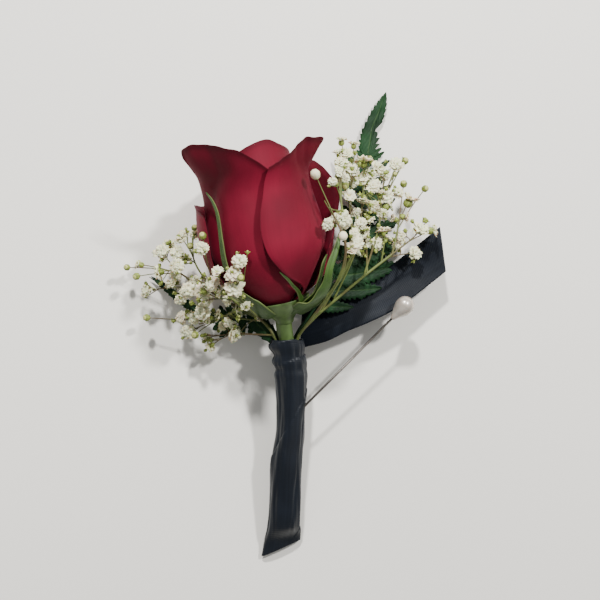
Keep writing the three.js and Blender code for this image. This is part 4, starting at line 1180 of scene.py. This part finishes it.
def petal_finish(look, name="petal velvet", shade=1.0):
    """Velvety red: faint veins that fan out along the petal, a darker rim and a paler foot."""
    finish = Finish(name)
    _, along = finish.uv()
    veins = finish.fibres((26, 1.6), 1.6, 2)
    clouds = finish.grain(70, 2)
    pile = finish.grain(2600, 2)
    # Below 1, shade dims the whole velvet: painted shade, used for the heart deep in the bud
    bright = dimmed(look.petal_colour, shade)
    deep = dimmed(bright, 0.62)
    body = finish.mix((veins * 0.14 + clouds * 0.8).step(0.25, 0.75), deep, bright)
    body = finish.mix(along.step(0.965, 1.0) * 0.6, body, dimmed(deep, 0.4))
    body = finish.mix((1 - along.step(0.01, 0.07)) * 0.5, body, look.petal_foot_colour)
    return finish.shade(
        Base_Color=body,
        Roughness=0.62 + clouds * 0.1,
        Normal=finish.bump(veins * 0.5 + pile * 0.25, 0.12, 0.00025),
        Sheen_Weight=0.1,
        Sheen_Roughness=0.3,
        Sheen_Tint=(0.8, 0.3, 0.4, 1),
        Specular_IOR_Level=0.16,
    )


def calyx_finish(look):
    """Leaf green with a paler rim, lengthwise veins and a faint bloom."""
    finish = Finish("calyx green")
    across, _ = finish.uv()
    veins = finish.fibres((16, 2.4), 1.5, 2)
    mottle = finish.grain(260, 3)
    body = finish.patched((veins * 0.5 + mottle * 0.6).step(0.3, 0.8), look.calyx_colour, 0.5)
    side = (across - 0.5) * (across - 0.5) * 4
    body = finish.mix(side.step(0.72, 1) * 0.55, body, look.calyx_rim_colour)
    return finish.shade(
        Base_Color=body,
        Roughness=0.44 + mottle * 0.16,
        Normal=finish.bump(veins + mottle * 0.4, 0.4, 0.0003),
        Specular_IOR_Level=0.35,
    )


def hip_finish(look):
    """The smooth hip and neck, paler than the sepals, with dark streaks that run down it."""
    finish = Finish("hip green")
    streaks = finish.grain(520, 3, (1, 0.22, 1))
    mottle = finish.grain(150, 3)
    body = finish.patched((streaks * 0.6 + mottle * 0.5).step(0.3, 0.75), look.hip_colour, 0.55)
    return finish.shade(
        Base_Color=body,
        Roughness=0.38 + mottle * 0.2,
        Normal=finish.bump(streaks, 0.3, 0.0002),
        Specular_IOR_Level=0.4,
    )


def floret_finish(look):
    """Papery creamy petals, pinker in places, with fine folds. Their foot is greener, the floret's own green
    centre, and darker as painted shade of the floret's depth; specks along the folds are darkened as painted
    shade.
    """
    finish = Finish("floret white")
    _, along = finish.uv()
    folds = finish.fibres((9, 1.6), 2.2, 2)
    blush = finish.grain(110, 2)
    speckle = finish.grain(420, 2)
    body = finish.mix(blush.step(0.52, 0.66) * 0.55, look.floret_colour, look.floret_blush)
    # The foot colour is the florets' own green centre, darkened as well as painted shade of their depth
    body = finish.mix(along.step(0.1, 0.62), look.floret_foot_colour, body)
    # Painted shade: darker specks along the folds and speckles
    painted_shade = dimmed(look.floret_foot_colour, 0.72)
    body = finish.mix((folds * 0.6 + speckle * 0.5).step(0.56, 0.82) * 0.6, body, painted_shade)
    return finish.shade(
        Base_Color=body,
        Roughness=0.6 + blush * 0.15,
        Normal=finish.bump(folds, 0.35, 0.0002),
        Subsurface_Weight=0.15,
        Subsurface_Scale=0.002,
        Specular_IOR_Level=0.2,
    )


def bud_finish(look):
    """Closed buds: a green cup whose rim is darker, with the pale petals showing in its mouth and painted
    shade darkening the middle of the mouth.
    """
    finish = Finish("bud green")
    _, along = finish.uv()
    ribs = finish.fibres((10, 1), 1.6, 1)
    mottle = finish.grain(500, 2)
    deep = dimmed(look.bud_colour, 0.42)
    green = finish.mix((ribs * 0.6 + mottle * 0.4).step(0.35, 0.65), deep, look.bud_colour)
    green = finish.mix(along.step(0.6, 0.74) * 0.75, green, deep)
    # Painted shade: the very tip of the mouth darkens towards the deep green
    pale = finish.mix(along.step(0.94, 0.97) * 0.6, look.floret_foot_colour, deep)
    body = finish.mix((along + mottle * 0.1).step(0.82, 0.88), green, pale)
    return finish.shade(
        Base_Color=body,
        Roughness=0.45 + mottle * 0.2,
        Normal=finish.bump(ribs + mottle * 0.4, 0.4, 0.0002),
        Specular_IOR_Level=0.3,
    )


def star_finish(look):
    """The small pointed sepals behind each head: yellow-green, deeper in patches."""
    finish = Finish("sepal green")
    mottle = finish.grain(420, 2)
    body = finish.patched(mottle.step(0.4, 0.62), look.bud_colour, 0.45)
    return finish.shade(Base_Color=body, Roughness=0.5, Specular_IOR_Level=0.25)


def sprig_finish(look):
    """Thin stems: yellow-green, browner in patches."""
    finish = Finish("sprig green")
    patches = finish.grain(90, 3)
    grain = finish.grain(1400, 2)
    body = finish.mix(patches.step(0.42, 0.62), look.stem_colour, look.stem_brown)
    body = finish.mix(grain.step(0.4, 0.8) * 0.4, body, dimmed(look.stem_colour, 0.4))
    return finish.shade(
        Base_Color=body,
        Roughness=0.5 + grain * 0.15,
        Normal=finish.bump(grain, 0.3, 0.0001),
        Specular_IOR_Level=0.35,
    )


def fern_finish(look):
    """Leathery dark green with a paler midrib, side veins and a dull gloss."""
    finish = Finish("fern leather")
    across, along = finish.uv()
    middle = (across - 0.5).maths("ABSOLUTE")
    slanted = (along * 9 + middle * 7).maths("FRACT")
    veins = (slanted - 0.5).maths("ABSOLUTE").step(0.42, 0.5)
    mottle = finish.grain(130, 3)
    deep = dimmed(look.fern_colour, 0.5)
    body = finish.patched(mottle.step(0.35, 0.65), look.fern_colour, 0.5)
    body = finish.mix(veins * 0.35, body, deep)
    body = finish.mix((1 - middle.step(0.0, 0.06)) * 0.5, body, look.fern_rib_colour)
    relief = veins * -0.6 - (1 - middle.step(0.0, 0.08)) * 0.8
    return finish.shade(
        Base_Color=body,
        Roughness=0.46 + mottle * 0.2,
        Normal=finish.bump(relief, 0.5, 0.0003),
        Specular_IOR_Level=0.16,
    )


def satin_finish(look, name, warp_angle, weft_angle, gloss):
    """Navy satin: fine cross ribs, a finer warp and soft sheen, with long faint streaks. The streaks, cloudy
    patches and cross ribs are lightened in colour as painted sheen. The two angles are the radians that the
    threads' waves run through from side to side and from end to end."""
    finish = Finish(name)
    across, along = finish.uv()
    weft = (along * weft_angle).maths("SINE")
    warp = (across * warp_angle).maths("SINE")
    streaks = finish.fibres((26, 1.4), 2, 3)
    cloudy = finish.grain(110, 3)
    # Painted sheen: a brighter copy of the satin, laid along the streaks, cloudy patches and cross ribs
    painted_sheen = dimmed(look.satin_colour, 1.9)
    body = finish.mix((streaks * 0.6 + cloudy * 0.5).step(0.35, 0.75), look.satin_colour, painted_sheen)
    body = finish.mix(weft.step(-1, 1) * 0.18, body, painted_sheen)
    return finish.shade(
        Base_Color=body,
        Roughness=0.34 + streaks * 0.22,
        Normal=finish.bump(weft * 0.35 + warp * 0.2 + streaks * 1.5, 0.3, 0.0001),
        Sheen_Weight=gloss * 0.25,
        Sheen_Roughness=0.4,
        Sheen_Tint=(0.5, 0.6, 0.75, 1),
        Specular_IOR_Level=gloss,
        Anisotropic=0.4,
    )


def tape_finish(look):
    """Waxed crepe tape: fine stretched wrinkles across it."""
    finish = Finish("crepe tape")
    crepe = finish.grain(1800, 3, (0.3, 1, 0.3))
    body = finish.patched(crepe.step(0.3, 0.7), look.tape_colour, 0.5)
    wrinkled = finish.bump(crepe, 0.5, 0.0002)
    return finish.shade(Base_Color=body, Roughness=0.7 + crepe * 0.15, Normal=wrinkled)


def steel_finish(look):
    """Drawn pin wire: dull nickel with fine lengthwise marks."""
    finish = Finish("pin nickel")
    marks = finish.grain(2600, 3)
    stain = finish.grain(160, 2)
    body = finish.mix(stain.step(0.4, 0.7), look.steel_colour, dimmed(look.steel_colour, 0.6))
    return finish.shade(
        Base_Color=body,
        Metallic=1.0,
        Roughness=0.24 + marks * 0.2,
        Normal=finish.bump(marks, 0.15, 0.00005),
    )


def pearl_finish(look):
    """Coated bead: warm nacre that drifts between cream and grey-pink under a clear coat."""
    finish = Finish("pearl nacre")
    drift = finish.grain(240, 2, roughness=0.6)
    body = finish.mix(drift.step(0.35, 0.65), look.pearl_colour, look.pearl_shade_colour)
    return finish.shade(
        Base_Color=body,
        Roughness=0.3 + drift * 0.08,
        Metallic=0.3,
        Normal=finish.bump(drift, 0.08, 0.0001),
        Coat_Weight=1,
        Coat_Roughness=0.16,
        Subsurface_Weight=0.05,
        Subsurface_Scale=0.002,
        Specular_IOR_Level=0.55,
    )


# ---- settings ----


def colour_setting(name, description, red, green, blue):
    kind = {"subtype": "COLOR", "size": 3, "min": 0, "max": 1}
    return FloatVectorProperty(name=name, description=description, default=tint(red, green, blue), **kind)


def length_setting(name, description, millimetres):
    kind = {"subtype": "DISTANCE", "unit": "LENGTH", "min": 0}
    return FloatProperty(name=name, description=description, default=millimetres * MM, **kind)


def number_setting(name, description, low, high, default):
    return FloatProperty(name=name, description=description, min=low, max=high, default=default)


def power_setting(name, description, watts):
    return FloatProperty(name=name, description=description, unit="POWER", min=0, default=watts)


class RoseLook(bpy.types.PropertyGroup):
    petal_colour: colour_setting("Petal", "The velvety red of the petals", 114, 14, 38)
    petal_foot_colour: colour_setting("Petal foot", "The paler foot of each petal", 120, 60, 44)
    petal_thickness: length_setting("Petal thickness", "Thickness in the middle of a petal", 0.5)
    ripple: number_setting("Ripple", "Depth of the soft unevenness, in mm", 0, 1, 0.5)
    across: IntProperty(name="Faces across", description="Faces across a petal", min=8, max=80, default=44)
    along: IntProperty(name="Faces along", description="Faces along a petal", min=8, max=80, default=40)
    calyx_colour: colour_setting("Sepal", "The green of the sepals", 66, 96, 36)
    calyx_rim_colour: colour_setting("Sepal rim", "The pale edge of the sepals", 112, 116, 70)
    hip_colour: colour_setting("Hip", "The green of the hip and neck", 88, 112, 58)


class SprayLook(bpy.types.PropertyGroup):
    floret_colour: colour_setting("Floret", "The creamy white of the florets", 228, 222, 186)
    floret_blush: colour_setting("Floret blush", "The pinker white of some florets", 222, 194, 176)
    # the green of the floret's centre, darkened also as painted shade of its depth
    floret_foot_colour: colour_setting("Floret foot", "The greener foot of each petal", 178, 178, 108)
    bud_colour: colour_setting("Bud", "The yellow-green of buds and calyxes", 150, 164, 76)
    stem_colour: colour_setting("Stem", "The green of the thin stems", 96, 106, 52)
    stem_brown: colour_setting("Stem patches", "The brown of older stems", 92, 74, 48)
    floret_scale: number_setting("Floret scale", "Size against the heads laid out", 0.5, 1.5, 1)
    floret_petal: length_setting("Floret petal", "Thickness of a floret's petal", 0.12)


class FernLook(bpy.types.PropertyGroup):
    fern_colour: colour_setting("Fern", "The dark green of the fronds", 24, 58, 28)
    fern_rib_colour: colour_setting("Fern rib", "The paler line along each leaflet", 62, 86, 46)
    leaf_thickness: length_setting("Leaf thickness", "Thickness of a leaflet", 0.25)


class RibbonLook(bpy.types.PropertyGroup):
    satin_colour: colour_setting("Satin", "The navy of the ribbon", 10, 14, 20)
    tape_colour: colour_setting("Tape", "The green of the floral tape", 76, 106, 68)
    ribbon_thickness: length_setting("Ribbon thickness", "Thickness of the ribbon", 0.35)
    lap: number_setting("Lap", "Step where a turn overlaps, in mm", 0, 1, 0.36)
    crease: number_setting("Crease", "Depth of the creases, in mm", 0, 1.5, 0.55)
    wave: number_setting("Wave", "Waviness of the loose end, in mm", 0, 2, 0.7)


class PinLook(bpy.types.PropertyGroup):
    steel_colour: colour_setting("Pin", "The nickel of the pin", 92, 87, 82)
    pearl_colour: colour_setting("Pearl", "The nacre of the pin's head", 186, 177, 165)
    pearl_shade_colour: colour_setting("Pearl shade", "The darker drift in the nacre", 158, 148, 136)


class StageLook(bpy.types.PropertyGroup):
    floor_colour: colour_setting("Floor", "The pale floor", 250, 246, 237)
    key_power: power_setting("Key light", "Power of the small lamp to the upper right", 4.4)
    second_power: power_setting("Second light", "Power of the lamp beyond the rose", 16.5)
    ambient: number_setting("Ambient", "Strength of the even light", 0, 5, 0.42)


# ---- operators ----


def settings(context, group):
    return getattr(context.scene, "boutonniere_" + group)


class BOUTONNIERE_OT_rose(bpy.types.Operator):
    """Builds the ten petals of the bud and its closed heart"""

    bl_idname = "boutonniere.rose"
    bl_label = "Rose petals"

    def execute(self, context):
        look = settings(context, "rose")
        velvet = petal_finish(look)
        for petal in OUTER_PETALS:
            build_petal(petal, velvet, look, look.across, look.along)
        for i in range(len(INNER_PETALS)):
            build_petal(inner_petal(i), velvet, look, look.across // 2 + 6, look.along // 2 + 6)
        bm = sheet_mesh(*HEART_FACES, heart_surface)
        # The heart's velvet is dimmed to 0.8 as painted shade of its place deep in the bud
        painted_shade = petal_finish(look, "heart velvet painted shade", 0.8)
        heart = add_modelled("petal_heart", bm, painted_shade, ["rose_heart"], ROSE)
        thicken(heart, look.petal_thickness)
        soften(heart)
        return {"FINISHED"}


class BOUTONNIERE_OT_calyx(bpy.types.Operator):
    """Builds the sepals, the hip and the stem"""

    bl_idname = "boutonniere.calyx"
    bl_label = "Calyx and stem"

    def execute(self, context):
        look = settings(context, "rose")
        bm = bmesh.new()
        for sepal in SEPALS:
            surface_mesh(bm, *SEPAL_FACES, sepal_surface(*sepal))
        sepals = add_modelled("sepals", bm, calyx_finish(look), ["rose_calyx"], ROSE)
        thicken(sepals, SEPAL_THICKNESS * MM)
        soften(sepals)
        green = hip_finish(look)
        hip = add_modelled("rose_hip", hip_and_neck(), green, matrix=ROSE)
        soften(hip)
        line = stem_line()
        points = [line.at(i / STEM_STEPS)[0] for i in range(STEM_STEPS + 1)]
        radii = [lerp(*STEM_RADII, smooth(i, 2, 8)) for i in range(STEM_STEPS + 1)]
        add_piece("rose_stem", stem_mesh("rose_stem", [(points, radii)], 4), green)
        return {"FINISHED"}


class BOUTONNIERE_OT_sprays(bpy.types.Operator):
    """Builds both sprays of baby's breath: stems, florets and buds"""

    bl_idname = "boutonniere.sprays"
    bl_label = "Baby's breath"

    def execute(self, context):
        look = settings(context, "sprays")
        finishes = {
            "sprig": sprig_finish(look),
            "floret": floret_finish(look),
            "bud": bud_finish(look),
            "star": star_finish(look),
        }
        for spray in (LEFT_SPRAY, RIGHT_SPRAY):
            build_spray(spray, finishes, look)
        return {"FINISHED"}


class BOUTONNIERE_OT_fern(bpy.types.Operator):
    """Builds the two fern fronds with their leaflets and ribs"""

    bl_idname = "boutonniere.fern"
    bl_label = "Fern fronds"

    def execute(self, context):
        look = settings(context, "fern")
        leather = fern_finish(look)
        for frond in FRONDS:
            build_frond(frond, leather, look.leaf_thickness)
        return {"FINISHED"}


class BOUTONNIERE_OT_ribbon(bpy.types.Operator):
    """Builds the wound ribbon, its loose tail, and the finish of the tape beneath"""

    bl_idname = "boutonniere.ribbon"
    bl_label = "Ribbon"

    def execute(self, context):
        look = settings(context, "ribbon")
        bm = sheet_mesh(*WRAP_FACES, wrap_surface(look.lap, look.crease))
        bmesh.ops.remove_doubles(bm, verts=bm.verts, dist=WELD)
        satin = satin_finish(look, "wound satin", 180, 700, 0.26)
        wrap = add_modelled("wound_ribbon", bm, satin, ["ribbon_wrap"])
        thicken(wrap, look.ribbon_thickness).offset = -1

        bm = sheet_mesh(*TAIL_FACES, tail_surface(look.wave))
        satin = satin_finish(look, "tail satin", 150, 560, 0.14)
        tail = add_modelled("loose_ribbon", bm, satin, ["ribbon_tail"])
        thicken(tail, look.ribbon_thickness)

        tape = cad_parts["floral_tape"]
        tape.data.materials.clear()
        tape.data.materials.append(tape_finish(look))
        return {"FINISHED"}


class BOUTONNIERE_OT_pin(bpy.types.Operator):
    """Builds the pin and its pearl head"""

    bl_idname = "boutonniere.pin"
    bl_label = "Pearl pin"

    def execute(self, context):
        look = settings(context, "pin")
        length = (PEARL_CENTRE - PIN_TIP).length
        outline = [(0, 0), (0.05, 0.15), (0.22, 1.6), (PIN_RADIUS, 4), (PIN_RADIUS, length), (0, length)]
        wire, steel = turned(outline, PIN_SIDES), steel_finish(look)
        add_modelled("pin_wire", wire, steel, ["pin_shaft"], along_pin(0))
        bead, nacre = turned(PEARL_OUTLINE, PEARL_SIDES), pearl_finish(look)
        pearl = add_modelled("pearl_head", bead, nacre, ["pin_pearl"], along_pin(length))
        soften(pearl)
        return {"FINISHED"}


# the floor's half size and its depth under the solids, in metres
FLOOR_HALF = 1.5
FLOOR_DROP = 0.0004
# the direction in which each lamp stands, its distance from the middle and its size, in metres
KEY_LAMP = ((0.5, 0.44, 0.75), 0.65, 0.04)
SECOND_LAMP = ((-0.1, 0.72, 0.68), 1.1, 0.07)
CAMERA_SPOT = (3.84, 12.8, 400)
CAMERA_SENSOR = 36  # its width, in millimetres like the lens
CAMERA_LENS = 71.6


def add_light(name, towards, distance, size, power):
    """A soft square lamp that shines on the middle of the part from a direction."""
    lamp = bpy.data.lights.new(name, "AREA")
    lamp.energy = power
    lamp.size = size
    made = bpy.data.objects.new(name, lamp)
    direction = Vector(towards).normalized()
    made.location = direction * distance
    made.rotation_euler = direction.to_track_quat("Z", "Y").to_euler()
    bpy.context.scene.collection.objects.link(made)


class BOUTONNIERE_OT_stage(bpy.types.Operator):
    """Builds the pale floor, the soft lights and the camera overhead"""

    bl_idname = "boutonniere.stage"
    bl_label = "Stage"

    def execute(self, context):
        look = settings(context, "stage")
        finish = Finish("matt table")
        grain = finish.grain(6, 3)
        across, up, _ = finish.split(finish.place())
        # Painted light falloff: the floor darkens towards the right and the bottom, with a little random
        # grain
        far = (across * 2.6 - up * 1.6).step(-0.32, 0.3) * 0.85 + grain * 0.15
        darker = dimmed(look.floor_colour, 0.86)
        matt = finish.shade(
            Base_Color=finish.mix(far, look.floor_colour, darker), Roughness=0.7, Specular_IOR_Level=0.2
        )
        bm = bmesh.new()
        bmesh.ops.create_grid(bm, x_segments=2, y_segments=2, size=FLOOR_HALF)
        bmesh.ops.translate(bm, verts=bm.verts, vec=(0, 0, CAD_BOX[0][2] - FLOOR_DROP))
        mesh = bpy.data.meshes.new("floor")
        bm.to_mesh(mesh)
        bm.free()
        mesh.materials.append(matt)
        floor = bpy.data.objects.new("floor", mesh)
        context.scene.collection.objects.link(floor)

        add_light("key_light", *KEY_LAMP, look.key_power)
        add_light("second_light", *SECOND_LAMP, look.second_power)
        world = bpy.data.worlds.new("even light")
        world.use_nodes = True
        background = world.node_tree.nodes["Background"]
        background.inputs["Color"].default_value = (0.96, 0.98, 1, 1)
        background.inputs["Strength"].default_value = look.ambient
        context.scene.world = world

        camera = bpy.data.cameras.new("overhead")
        camera.lens = CAMERA_LENS
        camera.sensor_width = CAMERA_SENSOR
        camera.clip_start = 0.01
        eye = bpy.data.objects.new("overhead", camera)
        eye.location = PLACE @ Vector(CAMERA_SPOT)
        context.scene.collection.objects.link(eye)
        context.scene.camera = eye
        return {"FINISHED"}


BUILDERS = (
    BOUTONNIERE_OT_stage,
    BOUTONNIERE_OT_ribbon,
    BOUTONNIERE_OT_rose,
    BOUTONNIERE_OT_calyx,
    BOUTONNIERE_OT_fern,
    BOUTONNIERE_OT_sprays,
    BOUTONNIERE_OT_pin,
)
LOOKS = {
    "rose": RoseLook,
    "sprays": SprayLook,
    "fern": FernLook,
    "ribbon": RibbonLook,
    "pin": PinLook,
    "stage": StageLook,
}


class BOUTONNIERE_PT_builders(bpy.types.Panel):
    """Lists the settings and what can be built"""

    bl_label = "Boutonniere"
    bl_space_type = "VIEW_3D"
    bl_region_type = "UI"
    bl_category = "Boutonniere"

    def draw(self, context):
        for builder in BUILDERS:
            self.layout.operator(builder.bl_idname)
        for group, look in LOOKS.items():
            box = self.layout.box()
            box.label(text=group.capitalize())
            for name in look.__annotations__:
                box.prop(settings(context, group), name)


CLASSES = (*LOOKS.values(), *BUILDERS, BOUTONNIERE_PT_builders)


def register():
    for cls in CLASSES:
        bpy.utils.register_class(cls)
    for group, look in LOOKS.items():
        setattr(bpy.types.Scene, "boutonniere_" + group, PointerProperty(type=look))


def unregister():
    for group in LOOKS:
        delattr(bpy.types.Scene, "boutonniere_" + group)
    for cls in reversed(CLASSES):
        bpy.utils.unregister_class(cls)


def main():
    register()
    bpy.ops.boutonniere.stage()
    bpy.ops.boutonniere.ribbon()
    bpy.ops.boutonniere.rose()
    bpy.ops.boutonniere.calyx()
    bpy.ops.boutonniere.fern()
    bpy.ops.boutonniere.sprays()
    bpy.ops.boutonniere.pin()


if __name__ == "__main__":
    main()
